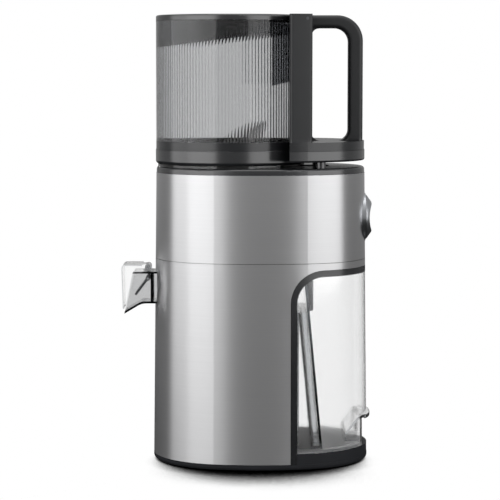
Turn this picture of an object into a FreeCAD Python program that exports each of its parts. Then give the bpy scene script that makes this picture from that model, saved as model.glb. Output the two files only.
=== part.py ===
"""Hopper-fed slow juicer: metal-clad oval body, ribbed hopper with a loop handle, auger in a
lift-out drum, geared motor below it, clear pulp bin in a bay at the back, clear spout at the front.

Millimetres, +Z up. The front (juice spout) faces -X and the back (handle, dial, bin) faces +X.
Everything is drawn about the middle of the oval body; at the end all pieces shift along X, so that
the origin is the middle of the footprint on the surface that the feet stand on.
"""

import FreeCAD
import Part

import math
import os

V = FreeCAD.Vector
UP = V(0, 0, 1)

# Oval body: round nose and tail joined by gently bowed sides, drawn in a little towards the top.
BODY_HALF_LENGTH = 110.2
BODY_HALF_WIDTH = 84.0
SIDE_BOW = 3.3
NOSE_RADIUS = BODY_HALF_WIDTH - SIDE_BOW
NOSE_CENTRE = BODY_HALF_LENGTH - NOSE_RADIUS
NOSE_X = -BODY_HALF_LENGTH
DRAFT = 0.0119
SHELL_WALL = 1.6
FIT = 0.3
SEAT_GAP = 0.2

# The axis that the motor, the auger and the round hopper tank share, just ahead of the nose's centre.
AXIS_AHEAD = 0.5
AXIS_X = -(NOSE_CENTRE + AXIS_AHEAD)

# Base pan, its platform for the bin, and the feet that it stands on.
PAN_BOTTOM = 0.8
PAN_HEIGHT = 5.6
PAN_RIM_TOP = PAN_BOTTOM + PAN_HEIGHT
PAN_FLOOR = 2.5
PAN_WALL = 3.0
PAN_EDGE_ROUND = 3.5
PLATFORM_HEIGHT = 10.6
PLATFORM_TOP = PAN_RIM_TOP + PLATFORM_HEIGHT
FOOT_RADIUS = 8.0
FOOT_HEIGHT = 2.3
FOOT_END_MARGIN = 38.2
FOOT_SIDE_MARGIN = 38.0
FOOT_X = BODY_HALF_LENGTH - FOOT_END_MARGIN
FOOT_Y = BODY_HALF_WIDTH - FOOT_SIDE_MARGIN

# Motor on rubber mounts.
MOTOR_RADIUS = 42.0
MOTOR_HEIGHT = 86.0
MOTOR_EDGE_ROUND = 4.0
MOTOR_VENTS = 12
MOTOR_VENT_WIDTH = 4.0
MOTOR_VENT_DEPTH = 3.0
MOTOR_VENT_MARGIN = 18.0
MOTOR_SHAFT_RADIUS = 4.0
MOTOR_SHAFT_DEPTH = 45.0
MOUNT_HEIGHT = 10.7
MOUNT_MARGIN = 10.0
MOUNT_CIRCLE = MOTOR_RADIUS - MOUNT_MARGIN
MOUNT_RADIUS = 6.0
MOTOR_FOOT_Z = PAN_BOTTOM + PAN_FLOOR + MOUNT_HEIGHT
MOTOR_TOP = MOTOR_FOOT_Z + MOTOR_HEIGHT

# Gear train: motor pinion, counter gear, counter pinion and output gear, all of one module.
MODULE = 1.0
PINION_TEETH = 14
GEAR_TEETH = 58
GEAR_WIDTH = 10.0
GEAR_BACKLASH = 0.30
GEAR_ADDENDUM = 0.85
GEAR_DEDENDUM = 1.25
PRESSURE_ANGLE = math.radians(20.0)
PINION_HEX = 6.0
OUTPUT_HEX = 14.0
DRIVE_HEX = 12.0
DRIVE_DEPTH = 36.0
DRIVE_BUSH_WALL = 3.5
OUTPUT_SHAFT_RADIUS = 7.0
COUNTER_JOURNAL_RADIUS = 3.0
RUNNING_CLEARANCE = 0.05
BUSH_WALL = 2.5
BUSH_HEIGHT = 5.5
BEARING_RADIUS = 13.0
BEARING_WIDTH = 9.0
CASE_WALL = 3.5
CASE_CLEARANCE = 2.0
COVER_HEIGHT = 13.6
GEAR_GAP = 4.3
STAGE_GAP = 8.0
SCREW_RADIUS = 1.6
SCREW_HEAD = 1.8
SCREW_MARGIN = 2.4
STAGE_ONE_Z = MOTOR_TOP + SEAT_GAP + CASE_WALL + GEAR_GAP
STAGE_TWO_Z = STAGE_ONE_Z + GEAR_WIDTH + STAGE_GAP
CASE_SPLIT_Z = STAGE_TWO_Z + GEAR_WIDTH + STAGE_GAP

# Drum well, drum and strainer cage. Both cups narrow below the step, to pass in front of the bay.
WELL_MARGIN = 10.1
WELL_RADIUS = NOSE_RADIUS - WELL_MARGIN
WELL_WALL = 2.4
WELL_FLOOR = 3.5
WELL_FLOOR_Z = CASE_SPLIT_Z + SEAT_GAP + COVER_HEIGHT + SEAT_GAP
SUMP_DEPTH = 43.2
STEP_Z = WELL_FLOOR_Z + SUMP_DEPTH
DRUM_GAP = 1.1
DRUM_RADIUS = WELL_RADIUS - DRUM_GAP
SUMP_STEP = 14.0
SUMP_RADIUS = DRUM_RADIUS - SUMP_STEP
DRUM_WALL = 3.0
FLANGE_REACH = 5.5
DRUM_FLANGE_RADIUS = DRUM_RADIUS + FLANGE_REACH
DRUM_FLANGE = 2.6
DRUM_FLOOR = 3.0
DRUM_STEP_Z = STEP_Z + WELL_WALL + FIT
CAGE_FLOOR_Z = DRUM_STEP_Z + DRUM_WALL
TUBE_DROP = 6.9
DRUM_TUBE_TOP = CAGE_FLOOR_Z - TUBE_DROP
DRUM_TUBE_WALL = 4.0
DRUM_TUBE_GAP = 1.5
SEAL_HEIGHT = 2.5
DRAIN_COUNT = 6
DRAIN_WIDTH = 8.0
DRAIN_DEPTH = 1.5
CAGE_MARGIN = 3.0
CAGE_TAPER = 2.0
CAGE_TOP_RADIUS = DRUM_RADIUS - DRUM_WALL - CAGE_MARGIN
CAGE_FOOT_RADIUS = CAGE_TOP_RADIUS - CAGE_TAPER
CAGE_WALL = 1.8
CAGE_PLATE = 2.5
CAGE_RIM = 2.0
CAGE_SLOTS = 30
CAGE_SLOT_WIDTH = 1.8
CAGE_SLOT_MARGIN = 10.0
AUGER_FOOT_Z = CAGE_FLOOR_Z + CAGE_PLATE + FIT

# Bay for the pulp bin: a band of liner along the edge of the opening in the lower shell.
BAY_GAP = 1.0
BAY_FRONT = AXIS_X + SUMP_RADIUS + DRUM_GAP + WELL_WALL + BAY_GAP
BAY_TOP = STEP_Z - 2 * FIT
BAY_CORNER = 33.0
LINER_WALL = 6.2

# Pulp chute from the drum down into the bay.
PULP_HALF_WIDTH = 14.0
PULP_HEIGHT = 24.1
PULP_ROOF = DRUM_STEP_Z + PULP_HEIGHT
PULP_WALL = 3.0
PULP_LEDGE = 4.5
PULP_LENGTH = 36.0
PULP_START_X = AXIS_X + DRUM_RADIUS + PULP_LEDGE
PULP_END_X = BAY_FRONT + PULP_LENGTH

# Heights of the metal shells, the seam between them and the deck on top.
SEAM_RISE = 7.2
SEAM_Z = BAY_TOP + SEAM_RISE
SEAM_GAP = 0.4
SEAM_BAND_WALL = 2.0
UPPER_SHELL_HEIGHT = 87.8
METAL_TOP = SEAM_Z + UPPER_SHELL_HEIGHT
DECK_HEIGHT = 6.4
DECK_TOP = METAL_TOP + DECK_HEIGHT
DECK_EDGE_ROUND = 3.0
DECK_RIB = 8.0

# Pulp bin.
BIN_WALL = 2.4
BIN_GAP = 0.4
BIN_BEAD = 4.6
BIN_BEAD_WALL = 1.2
BIN_SLOPE_SETBACK = 13.5
BIN_SLOPE_RUN = 16.0
BIN_SLOPE_DROP = 12.6
BIN_SLOPE_TOP_X = BAY_FRONT + BIN_SLOPE_SETBACK
BIN_SLOPE_TOP_Z = BAY_TOP - BIN_SLOPE_DROP
BIN_SLOPE_FOOT_X = BIN_SLOPE_TOP_X + BIN_SLOPE_RUN
TAB_DEPTH = 7.5
TAB_HEIGHT = 31.0
TAB_DROP = 1.0
TAB_EDGE_ROUND = 1.5
TAB_TOP_Z = BIN_SLOPE_TOP_Z - TAB_DROP
TAB_FOOT_Z = TAB_TOP_Z - TAB_HEIGHT
TAB_HALF_WIDTH = 34.0
SCOOP_HALF_WIDTH = 30.0
SCOOP_DEPTH = 22.2
SCOOP_ROOF_DEPTH = 10.2
SCOOP_HEIGHT = 28.0
SCOOP_STEP = 12.0
SCOOP_ROOF_ROUND = 6.0
SCOOP_FOOT_ROUND = 4.0
SCOOP_INNER_X = BODY_HALF_LENGTH - SCOOP_DEPTH
SCOOP_ROOF_X = BODY_HALF_LENGTH - SCOOP_ROOF_DEPTH
SCOOP_ROOF_Z = PLATFORM_TOP + SCOOP_HEIGHT
LIP_REACH = 3.4
LIP_HEIGHT = 4.0
LIP_ROOT = 4.0
LIP_ROUND = 1.5

# Hopper: base ring, upper band with the back columns and the loop handle, ribbed tank.
HOPPER_FOOT_Z = DECK_TOP + DRUM_FLANGE + FIT
BLOCK_LIFT = 3.3
BLOCK_FOOT_Z = HOPPER_FOOT_Z + BLOCK_LIFT
BLOCK_EDGE_ROUND = 2.0
RING_HEIGHT = 14.1
HOPPER_SPLIT_Z = HOPPER_FOOT_Z + RING_HEIGHT
BAND_HEIGHT = 9.0
TANK_FOOT_Z = HOPPER_SPLIT_Z + BAND_HEIGHT
TANK_HEIGHT = 121.0
TANK_TOP = TANK_FOOT_Z + TANK_HEIGHT
RING_STEP = 3.5
RING_RADIUS = NOSE_RADIUS - RING_STEP
TANK_STEP = 0.6
TANK_RADIUS = RING_RADIUS - TANK_STEP
TANK_WALL = 2.6
TANK_FLUTES = 138
FLUTE_DEPTH = 0.6
BAND_INSET = 0.5
BAND_LIP = 4.0
SKIRT_DEPTH = 7.0
SKIRT_WALL = 2.0
SKIRT_GAP = 0.5
MOUTH_RADIUS = DRUM_RADIUS - DRUM_WALL - SKIRT_GAP
COLUMN_ROUND = 3.0
COLUMN_LAP = 18.1
COLUMN_BEHIND = 4.4
COLUMN_FRONT = AXIS_X + TANK_RADIUS - COLUMN_LAP
COLUMN_BACK = AXIS_X + TANK_RADIUS + COLUMN_BEHIND
HANDLE_INSET = 6.2
HANDLE_BACK = BODY_HALF_LENGTH - HANDLE_INSET
HANDLE_HALF_WIDTH = 14.0
HANDLE_BAR = 14.5
HANDLE_TOP_BAR = 13.0
HANDLE_CORNER = 26.0
HANDLE_EDGE_ROUND = 4.0
HOLE_FRONT_ROUND = 4.0
HOLE_TOP_ROUND = 14.0
HOLE_FOOT_ROUND = 11.0

# Lid, its hinge and the guard that hangs inside the tank.
LID_HEIGHT = 6.0
LID_TOP = TANK_TOP + LID_HEIGHT
LID_CHORD = 8.6
LID_BACK = AXIS_X + TANK_RADIUS - LID_CHORD
LID_GAP = 1.6
LID_PLATE = 2.7
LID_RIM = 3.0
LID_EDGE_ROUND = 2.0
HINGE_INSET = 5.0
HINGE_RISE = 1.6
HINGE_X = COLUMN_BACK - HINGE_INSET
HINGE_Z = TANK_TOP + HINGE_RISE
HINGE_PIN_RADIUS = 1.5
HINGE_ARM = 16.0
KNUCKLE_RADIUS = 4.0
KNUCKLE_GAP = 0.4
KNUCKLE_INNER_Y = 40.0
KNUCKLE_WIDTH = 12.0
KNUCKLE_OUTER_Y = KNUCKLE_INNER_Y + KNUCKLE_WIDTH
PIN_HOLD = 5.0
PIN_INNER_Y = KNUCKLE_INNER_Y - PIN_HOLD
GUARD_MARGIN = 4.5
GUARD_RADIUS = TANK_RADIUS - TANK_WALL - GUARD_MARGIN
GUARD_WALL = 2.0
GUARD_FRONT_DROP = 27.0
GUARD_BACK_DROP = 11.0
GUARD_FRONT_Z = TANK_TOP - GUARD_FRONT_DROP
GUARD_BACK_Z = TANK_TOP - GUARD_BACK_DROP
TONGUE_MARGIN = 12.5
TONGUE_WIDTH = 17.0
TONGUE_DROP = 65.0
TONGUE_SLANT = 4.0
TONGUE_BACK_X = AXIS_X + GUARD_RADIUS - TONGUE_MARGIN
TONGUE_FRONT_X = TONGUE_BACK_X - TONGUE_WIDTH
TONGUE_FOOT_Z = TANK_TOP - TONGUE_DROP

# Auger and cutting wing.
CAGE_GAP = 2.9
CAGE_TOP = HOPPER_FOOT_Z - SKIRT_DEPTH - CAGE_GAP
AUGER_FOOT_RADIUS = 26.0
AUGER_NECK_RADIUS = 17.0
AUGER_RISE = 9.1
AUGER_TOP = HOPPER_FOOT_Z + AUGER_RISE
FLIGHT_GAP = 2.7
FLIGHT_RADIUS = CAGE_FOOT_RADIUS - CAGE_WALL - FLIGHT_GAP
FLIGHT_TURNS = 1.75
FLIGHT_STARTS = 2
FLIGHT_ROOT = 8.0
FLIGHT_TIP = 4.0
FLIGHT_DROP = 5.0
FLIGHT_TOP = CAGE_TOP - FLIGHT_DROP
FLIGHT_STEP = 30.0
FLIGHT_BURY = 4.0
EXIT_LAP = 7.0
EXIT_RADIUS = FLIGHT_RADIUS - EXIT_LAP
WING_HUB_RADIUS = 15.0
WING_HUB_HEIGHT = 11.0
WING_HUB_TOP = AUGER_TOP + WING_HUB_HEIGHT
WING_MARGIN = 14.0
WING_REACH = MOUTH_RADIUS - SKIRT_WALL - WING_MARGIN
WING_RISE = 24.0
WING_TIP_Z = WING_HUB_TOP + WING_RISE
WING_ANGLE = -52.0

# Juice spout at the front, with the flap that stops the drip and the cap over its mouth.
SPOUT_HALF_WIDTH = 18.0
SPOUT_WALL = 2.0
SPOUT_LIFT = 3.6
SPOUT_HEIGHT = 32.6
SPOUT_FOOT_Z = WELL_FLOOR_Z + SPOUT_LIFT
SPOUT_TOP_Z = SPOUT_FOOT_Z + SPOUT_HEIGHT
SPOUT_TIP_DROP = 10.6
SPOUT_TIP_Z = SPOUT_FOOT_Z - SPOUT_TIP_DROP
SPOUT_TIP_REACH = 29.2
SPOUT_TIP_X = NOSE_X - SPOUT_TIP_REACH
SPOUT_BROW_REACH = 20.3
SPOUT_BROW_X = NOSE_X - SPOUT_BROW_REACH
SPOUT_BROW_ROUND = 2.0
SPOUT_LIP_REACH = 11.3
SPOUT_LIP_X = NOSE_X - SPOUT_LIP_REACH
SPOUT_LIP_ROUND = 16.0
SPOUT_PLUG = 7.7
SPOUT_ROOT_X = NOSE_X + SPOUT_PLUG
GASKET_DEPTH = 2.1
GASKET_MARGIN = 0.5
PORT_FACE_X = SPOUT_ROOT_X + GASKET_DEPTH
PORT_MARGIN = 6.0
PORT_DROP = 8.0
SEAT_X = NOSE_X
SEAT_THICKNESS = 2.2
SEAT_RIM = 4.0
FLAP_REACH = 5.0
FLAP_DROP = 7.0
FLAP_HINGE_X = NOSE_X - FLAP_REACH
FLAP_HINGE_Z = SPOUT_TOP_Z - FLAP_DROP
FLAP_LENGTH = 21.0
FLAP_THICKNESS = 2.2
FLAP_OPEN_ANGLE = 37.0
FLAP_PIN_RADIUS = 1.2
FLAP_KNUCKLE_WALL = 1.2
CAP_OVERLAP = 1.5
CAP_LEAN = 1.3
CAP_STEP = 3.0
CAP_RISE = 7.2
CAP_FOOT_DROP = 5.6
CAP_CORNER = 4.0
CAP_FOOT_X = SPOUT_TIP_X - CAP_OVERLAP
CAP_FRONT_X = CAP_FOOT_X - CAP_LEAN
CAP_FOOT_Z = SPOUT_FOOT_Z - CAP_FOOT_DROP
CAP_TOP_Z = SPOUT_TOP_Z + CAP_RISE
CAP_WALL = 1.2
CAP_SIDE_GAP = 0.5
CAP_HINGE_REACH = 5.2
CAP_HINGE_RISE = 4.2
CAP_HINGE_X = NOSE_X - CAP_HINGE_REACH
CAP_HINGE_Z = SPOUT_TOP_Z + CAP_HINGE_RISE
CAP_KNUCKLE_RADIUS = 3.0
CAP_KNUCKLE_HALF = 9.0
CAP_PIN_RADIUS = 1.2
LUG_WIDTH = 4.0

# Control dial at the back of the upper shell.
DIAL_RISE = 41.6
DIAL_Z = SEAM_Z + DIAL_RISE
DIAL_RADIUS = 23.0
DIAL_FLARE = 7.5
DIAL_CREST_RADIUS = DIAL_RADIUS - DIAL_FLARE
DIAL_REACH = 6.7
DIAL_CREST = 3.0
DIAL_DISH_RADIUS = DIAL_CREST_RADIUS - DIAL_CREST
DIAL_DISH_DEPTH = 2.8
BEZEL_MARGIN = 1.6
BEZEL_RADIUS = DIAL_RADIUS + BEZEL_MARGIN
BEZEL_DEPTH = 6.0
BEZEL_PROUD = 0.4
DIAL_SHAFT_RADIUS = 3.0
SWITCH_RADIUS = 17.0
SWITCH_DEPTH = 16.0

# Cord grommet and small electrics.
GROMMET_X = 4.0
GROMMET_LIFT = 17.6
GROMMET_Z = PAN_RIM_TOP + GROMMET_LIFT
GROMMET_RADIUS = 7.0
GROMMET_FLANGE_LAP = 2.5
GROMMET_FLANGE_RADIUS = GROMMET_RADIUS + GROMMET_FLANGE_LAP
GROMMET_FLANGE = 1.5
GROMMET_GAP = 0.4
GROMMET_DEPTH = 8.0
CORD_HOLE_RADIUS = 3.6
BOARD_HALF_WIDTH = 38.0
BOARD_HEIGHT = 62.0
BOARD_FOOT_Z = 30.0
BOARD_TOP_Z = BOARD_FOOT_Z + BOARD_HEIGHT
BOARD = 1.6
RELAY_DEPTH = 12.0
RELAY_HALF_WIDTH = 9.0
RELAY_HEIGHT = 16.0
STANDOFF = 3.0
MAGNET_RADIUS = 4.0
MAGNET_HEIGHT = 4.0
SENSOR_SIZE = 14.0
SENSOR_HEIGHT = 5.0
SENSOR_MARGIN = 4.0
INTERLOCK_X = PULP_END_X + PULP_WALL + SENSOR_MARGIN + SENSOR_SIZE / 2
LUG_SETBACK = 9.0
LUG_X = COLUMN_BACK + LUG_SETBACK
LUG_INSET = 28.0
LUG_Y = BODY_HALF_WIDTH - LUG_INSET
LUG_RADIUS = 5.0

PARTS = {}


def keep(name, shape):
    """Files one finished piece under the name of its node."""
    PARTS[name] = shape.removeSplitter() if shape.ShapeType != "Compound" else shape


def oval_wire(inset, z):
    """The body's outline, drawn in by inset all round: four tangent arcs."""
    offset = (NOSE_CENTRE**2 - SIDE_BOW**2) / (2 * SIDE_BOW)
    reach = math.hypot(NOSE_CENTRE, offset)
    radius = NOSE_RADIUS - inset
    tangent_x = NOSE_CENTRE + radius * NOSE_CENTRE / reach
    tangent_y = radius * offset / reach
    end_x = BODY_HALF_LENGTH - inset
    side_y = BODY_HALF_WIDTH - inset
    arcs = [
        Part.Arc(V(tangent_x, -tangent_y, z), V(end_x, 0, z), V(tangent_x, tangent_y, z)),
        Part.Arc(V(tangent_x, tangent_y, z), V(0, side_y, z), V(-tangent_x, tangent_y, z)),
        Part.Arc(V(-tangent_x, tangent_y, z), V(-end_x, 0, z), V(-tangent_x, -tangent_y, z)),
        Part.Arc(V(-tangent_x, -tangent_y, z), V(0, -side_y, z), V(tangent_x, -tangent_y, z)),
    ]
    return Part.Wire([arc.toShape() for arc in arcs])


def body_inset(z):
    """How far the draft has drawn the outline in at this height."""
    return DRAFT * z


def drafted_block(z0, z1, inset=0.0):
    """The oval body between two heights, drawn in by inset from its skin."""
    foot = oval_wire(body_inset(z0) + inset, z0)
    head = oval_wire(body_inset(z1) + inset, z1)
    return Part.makeLoft([foot, head], True, True)


def straight_block(z0, z1, inset):
    """The oval as a plain upright prism."""
    return Part.Face(oval_wire(inset, z0)).extrude(V(0, 0, z1 - z0))


def box(x0, x1, y0, y1, z0, z1):
    return Part.makeBox(x1 - x0, y1 - y0, z1 - z0, V(x0, y0, z0))


def disc(radius, z0, z1, x=AXIS_X, y=0.0):
    return Part.makeCylinder(radius, z1 - z0, V(x, y, z0))


def ring(outer, inner, z0, z1, x=AXIS_X, y=0.0):
    return disc(outer, z0, z1, x, y).cut(disc(inner, z0, z1, x, y))


def hexagon(across_flats, z0, z1, x=AXIS_X, y=0.0):
    radius = across_flats / math.sqrt(3)
    corners = [
        V(x + radius * math.cos(math.radians(60 * i)), y + radius * math.sin(math.radians(60 * i)), z0)
        for i in range(7)
    ]
    return Part.Face(Part.makePolygon(corners)).extrude(V(0, 0, z1 - z0))


def rounded_wire(corners, y):
    """A closed outline in the plane of X and Z; each corner is (x, z, radius)."""
    count = len(corners)
    edges, starts, ends = [], [], []
    for i, (x, z, radius) in enumerate(corners):
        here = V(x, y, z)
        before = (V(corners[i - 1][0], y, corners[i - 1][1]) - here).normalize()
        after = (V(corners[(i + 1) % count][0], y, corners[(i + 1) % count][1]) - here).normalize()
        if radius == 0:
            starts.append(here)
            ends.append(here)
            continue
        half = math.acos(max(-1.0, min(1.0, before.dot(after)))) / 2
        start = here + before * (radius / math.tan(half))
        end = here + after * (radius / math.tan(half))
        centre = here + (before + after).normalize() * (radius / math.sin(half))
        middle = centre + (here - centre).normalize() * radius
        edges.append((i, Part.Arc(start, middle, end).toShape()))
        starts.append(start)
        ends.append(end)
    arcs = dict(edges)
    path = []
    for i in range(count):
        if i in arcs:
            path.append(arcs[i])
        leave, arrive = ends[i], starts[(i + 1) % count]
        if leave.distanceToPoint(arrive) > 1e-6:
            path.append(Part.LineSegment(leave, arrive).toShape())
    return Part.Wire(path)


def side_prism(corners, y0, y1):
    """An outline seen from the side, carried across from y0 to y1."""
    return Part.Face(rounded_wire(corners, y0)).extrude(V(0, y1 - y0, 0))


def across(x, z, radius, y0, y1):
    """A round bar along Y."""
    return Part.makeCylinder(radius, y1 - y0, V(x, y0, z), V(0, 1, 0))


def fuse(*shapes):
    return shapes[0].multiFuse(list(shapes[1:])).removeSplitter()


def gear(teeth, hex_bore, z, x, y, turn):
    """A spur gear with polyline involute flanks and a hexagonal bore."""
    pitch = MODULE * teeth / 2
    base = pitch * math.cos(PRESSURE_ANGLE)
    tip = pitch + GEAR_ADDENDUM * MODULE
    root = pitch - GEAR_DEDENDUM * MODULE
    half_pitch = math.pi / (2 * teeth) - GEAR_BACKLASH / (4 * pitch)
    lead = half_pitch + math.tan(PRESSURE_ANGLE) - PRESSURE_ANGLE

    def half_angle(radius):
        slope = math.acos(min(1.0, base / radius))
        return lead - (math.tan(slope) - slope)

    first = max(base, root)
    flank = [first + (tip - first) * share for share in (0.0, 0.4, 1.0)]
    points = []
    for tooth in range(teeth):
        middle = turn + 2 * math.pi * tooth / teeth
        polar = [(root, middle - half_angle(first))]
        polar += [(radius, middle - half_angle(radius)) for radius in flank]
        polar += [(radius, middle + half_angle(radius)) for radius in reversed(flank)]
        polar += [(root, middle + half_angle(first))]
        for radius, angle in polar:
            point = V(x + radius * math.cos(angle), y + radius * math.sin(angle), z)
            if not points or points[-1].distanceToPoint(point) > 1e-4:
                points.append(point)
    outline = Part.Face(Part.makePolygon(points + points[:1]))
    return outline.extrude(V(0, 0, GEAR_WIDTH)).cut(hexagon(hex_bore, z - 1, z + GEAR_WIDTH + 1, x, y))


def screws(places, radius, z0, z1, head=2.0):
    """Identical screws as one group: a shank and a round head at the top of each."""
    group = []
    for x, y in places:
        shank = disc(radius, z0, z1, x, y)
        group.append(fuse(shank, disc(radius * 2, z1, z1 + head, x, y)))
    return Part.makeCompound(group)


# Base pan, feet and motor mounts.
PLATFORM_FRONT = BAY_FRONT + LINER_WALL + SEAT_GAP
FOOT_PLACES = [(x, y) for x in (-FOOT_X, FOOT_X) for y in (-FOOT_Y, FOOT_Y)]
MOUNT_PLACES = [
    (AXIS_X + MOUNT_CIRCLE * math.cos(math.radians(a)), MOUNT_CIRCLE * math.sin(math.radians(a)))
    for a in (45, 135, 225, 315)
]


def make_base_pan():
    """Black pan under the whole body; its back rises into the platform that carries the bin."""
    plate = straight_block(PAN_BOTTOM, PAN_RIM_TOP, 0.0)
    foot_edges = [e for e in plate.Edges if e.BoundBox.ZMax < PAN_BOTTOM + 0.01]
    plate = plate.makeFillet(PAN_EDGE_ROUND, foot_edges)
    floor_top = PAN_BOTTOM + PAN_FLOOR
    tray = straight_block(floor_top, PAN_RIM_TOP + 1, PAN_WALL).common(
        box(NOSE_X, BAY_FRONT - PAN_WALL, -BODY_HALF_WIDTH, BODY_HALF_WIDTH, 0, PAN_RIM_TOP + 1)
    )
    platform = drafted_block(PAN_RIM_TOP - 1, PLATFORM_TOP, SEAT_GAP).common(
        box(PLATFORM_FRONT, BODY_HALF_LENGTH, -BODY_HALF_WIDTH, BODY_HALF_WIDTH, 0, PLATFORM_TOP)
    )
    hollow = straight_block(floor_top, PLATFORM_TOP - PAN_FLOOR, PAN_WALL + 1).common(
        box(PLATFORM_FRONT + PAN_WALL, BODY_HALF_LENGTH, -BODY_HALF_WIDTH, BODY_HALF_WIDTH, 0, PLATFORM_TOP)
    )
    pan = plate.cut(tray).fuse(platform).cut(hollow)
    for x, y in FOOT_PLACES:
        pan = pan.cut(disc(FOOT_RADIUS + FIT, 0, FOOT_HEIGHT, x, y))
    keep("base_pan", pan)
    feet = [disc(FOOT_RADIUS, 0, FOOT_HEIGHT, x, y) for x, y in FOOT_PLACES]
    keep("rubber_feet", Part.makeCompound(feet))
    mounts = [disc(MOUNT_RADIUS, floor_top, MOTOR_FOOT_Z, x, y) for x, y in MOUNT_PLACES]
    keep("motor_mounts", Part.makeCompound(mounts))


def bay_outline(margin, front=BAY_FRONT, top=BAY_TOP, corner=BAY_CORNER):
    """Side outline of the bay, open to the back and to the foot."""
    far = BODY_HALF_LENGTH + 30
    return [
        (front - margin, -10, 0),
        (far, -10, 0),
        (far, top + margin, 0),
        (front - margin, top + margin, corner + margin),
    ]


def make_shells():
    """Upper and lower metal shells, with the bay, the spout port and the holes cut in them."""
    wide = BODY_HALF_WIDTH + 10
    lower_top = SEAM_Z - SEAM_GAP / 2
    lower_foot = PAN_RIM_TOP + SEAT_GAP
    lower = drafted_block(lower_foot, lower_top).cut(drafted_block(lower_foot - 1, lower_top + 1, SHELL_WALL))
    lower = lower.cut(side_prism(bay_outline(SEAT_GAP), -wide, wide))
    port_side = SPOUT_HALF_WIDTH + FIT
    port = box(NOSE_X - 5, AXIS_X, -port_side, port_side, SPOUT_FOOT_Z - FIT, SPOUT_TOP_Z + FIT)
    lower = lower.cut(port)
    lower = lower.cut(across(GROMMET_X, GROMMET_Z, GROMMET_RADIUS + SEAT_GAP, 0, wide))
    keep("lower_shell", lower)
    upper_foot = SEAM_Z + SEAM_GAP / 2
    upper = drafted_block(upper_foot, METAL_TOP).cut(drafted_block(upper_foot - 1, METAL_TOP + 1, SHELL_WALL))
    hole = Part.makeCylinder(BEZEL_RADIUS + SEAT_GAP, BODY_HALF_LENGTH, V(NOSE_CENTRE, 0, DIAL_Z), V(1, 0, 0))
    keep("upper_shell", upper.cut(hole))
    band_foot = BAY_TOP + SEAT_GAP
    band_top = SEAM_Z + (SEAM_Z - band_foot)
    band = drafted_block(band_foot, band_top, SHELL_WALL + SEAT_GAP)
    band = band.cut(drafted_block(band_foot - 1, band_top + 1, SHELL_WALL + SEAT_GAP + SEAM_BAND_WALL))
    keep("seam_band", band)


def make_bay_liner():
    """Black liner of the bay: front wall and ceiling in one bent plate, flush with the shell."""
    wide = BODY_HALF_WIDTH + 10
    outer = side_prism(bay_outline(0.0), -wide, wide)
    inner_corner = BAY_CORNER - LINER_WALL
    inner = side_prism(
        bay_outline(0.0, BAY_FRONT + LINER_WALL, BAY_TOP - LINER_WALL, inner_corner), -wide, wide
    )
    liner = drafted_block(PAN_RIM_TOP + SEAT_GAP, BAY_TOP).common(outer).cut(inner)
    chute = box(
        PULP_START_X, PULP_END_X, -PULP_HALF_WIDTH, PULP_HALF_WIDTH, BAY_TOP - BAY_CORNER, BAY_TOP + 5
    )
    liner = liner.cut(chute)
    middle_z = (BOARD_FOOT_Z + BOARD_TOP_Z) / 2
    for y in (-BOARD_HALF_WIDTH + STANDOFF, BOARD_HALF_WIDTH - STANDOFF):
        for z in (BOARD_FOOT_Z + STANDOFF, BOARD_TOP_Z - STANDOFF):
            post = Part.makeCylinder(STANDOFF, STANDOFF + 1, V(BAY_FRONT - STANDOFF, y, z), V(1, 0, 0))
            liner = liner.fuse(post)
    keep("bay_liner", liner)
    board_x = BAY_FRONT - STANDOFF
    board = box(board_x - BOARD, board_x, -BOARD_HALF_WIDTH, BOARD_HALF_WIDTH, BOARD_FOOT_Z, BOARD_TOP_Z)
    relay = box(
        board_x - BOARD - RELAY_DEPTH, board_x - BOARD, -RELAY_HALF_WIDTH, RELAY_HALF_WIDTH,
        middle_z - RELAY_HEIGHT / 2, middle_z + RELAY_HEIGHT / 2,
    )
    keep("control_board", fuse(board, relay))


def make_top_deck():
    """Black rim on top of the body, moulded in one with the well that the drum drops into."""
    deck = drafted_block(METAL_TOP + SEAT_GAP, DECK_TOP, FIT)
    top_edges = [e for e in deck.Edges if e.BoundBox.ZMin > DECK_TOP - 0.01]
    deck = deck.makeFillet(DECK_EDGE_ROUND, top_edges)
    rib_inset = SHELL_WALL + SEAT_GAP
    rib = drafted_block(METAL_TOP - DECK_RIB, METAL_TOP + 1, rib_inset)
    rib = rib.cut(drafted_block(METAL_TOP - DECK_RIB - 1, METAL_TOP + 2, rib_inset + PAN_WALL))
    narrow = WELL_RADIUS - DRUM_RADIUS + SUMP_RADIUS
    cup = fuse(
        disc(WELL_RADIUS + WELL_WALL, STEP_Z, DECK_TOP - 1),
        disc(narrow + WELL_WALL, WELL_FLOOR_Z, STEP_Z + 1),
    )
    lugs = [
        disc(LUG_RADIUS, DECK_TOP - 1, BLOCK_FOOT_Z - FIT, LUG_X, side * LUG_Y) for side in (-1, 1)
    ]
    deck = fuse(deck, rib, cup, *lugs)
    deck = deck.cut(disc(WELL_RADIUS, STEP_Z + WELL_WALL, DECK_TOP + 1))
    deck = deck.cut(disc(narrow, WELL_FLOOR_Z + WELL_FLOOR, DECK_TOP + 1))
    deck = deck.cut(disc(OUTPUT_SHAFT_RADIUS + 2, WELL_FLOOR_Z - 1, WELL_FLOOR_Z + WELL_FLOOR + 1))
    port_side = SPOUT_HALF_WIDTH + 1
    deck = deck.cut(
        box(PORT_FACE_X - 4, AXIS_X, -port_side, port_side, WELL_FLOOR_Z + WELL_FLOOR, DECK_TOP + 1)
    )
    chute_side = PULP_HALF_WIDTH + PULP_WALL + 1
    chute_end = PULP_END_X + PULP_WALL + 1
    deck = deck.cut(box(AXIS_X, chute_end, -chute_side, chute_side, BAY_TOP + FIT, DECK_TOP + 1))
    keep("top_deck", deck)


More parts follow.
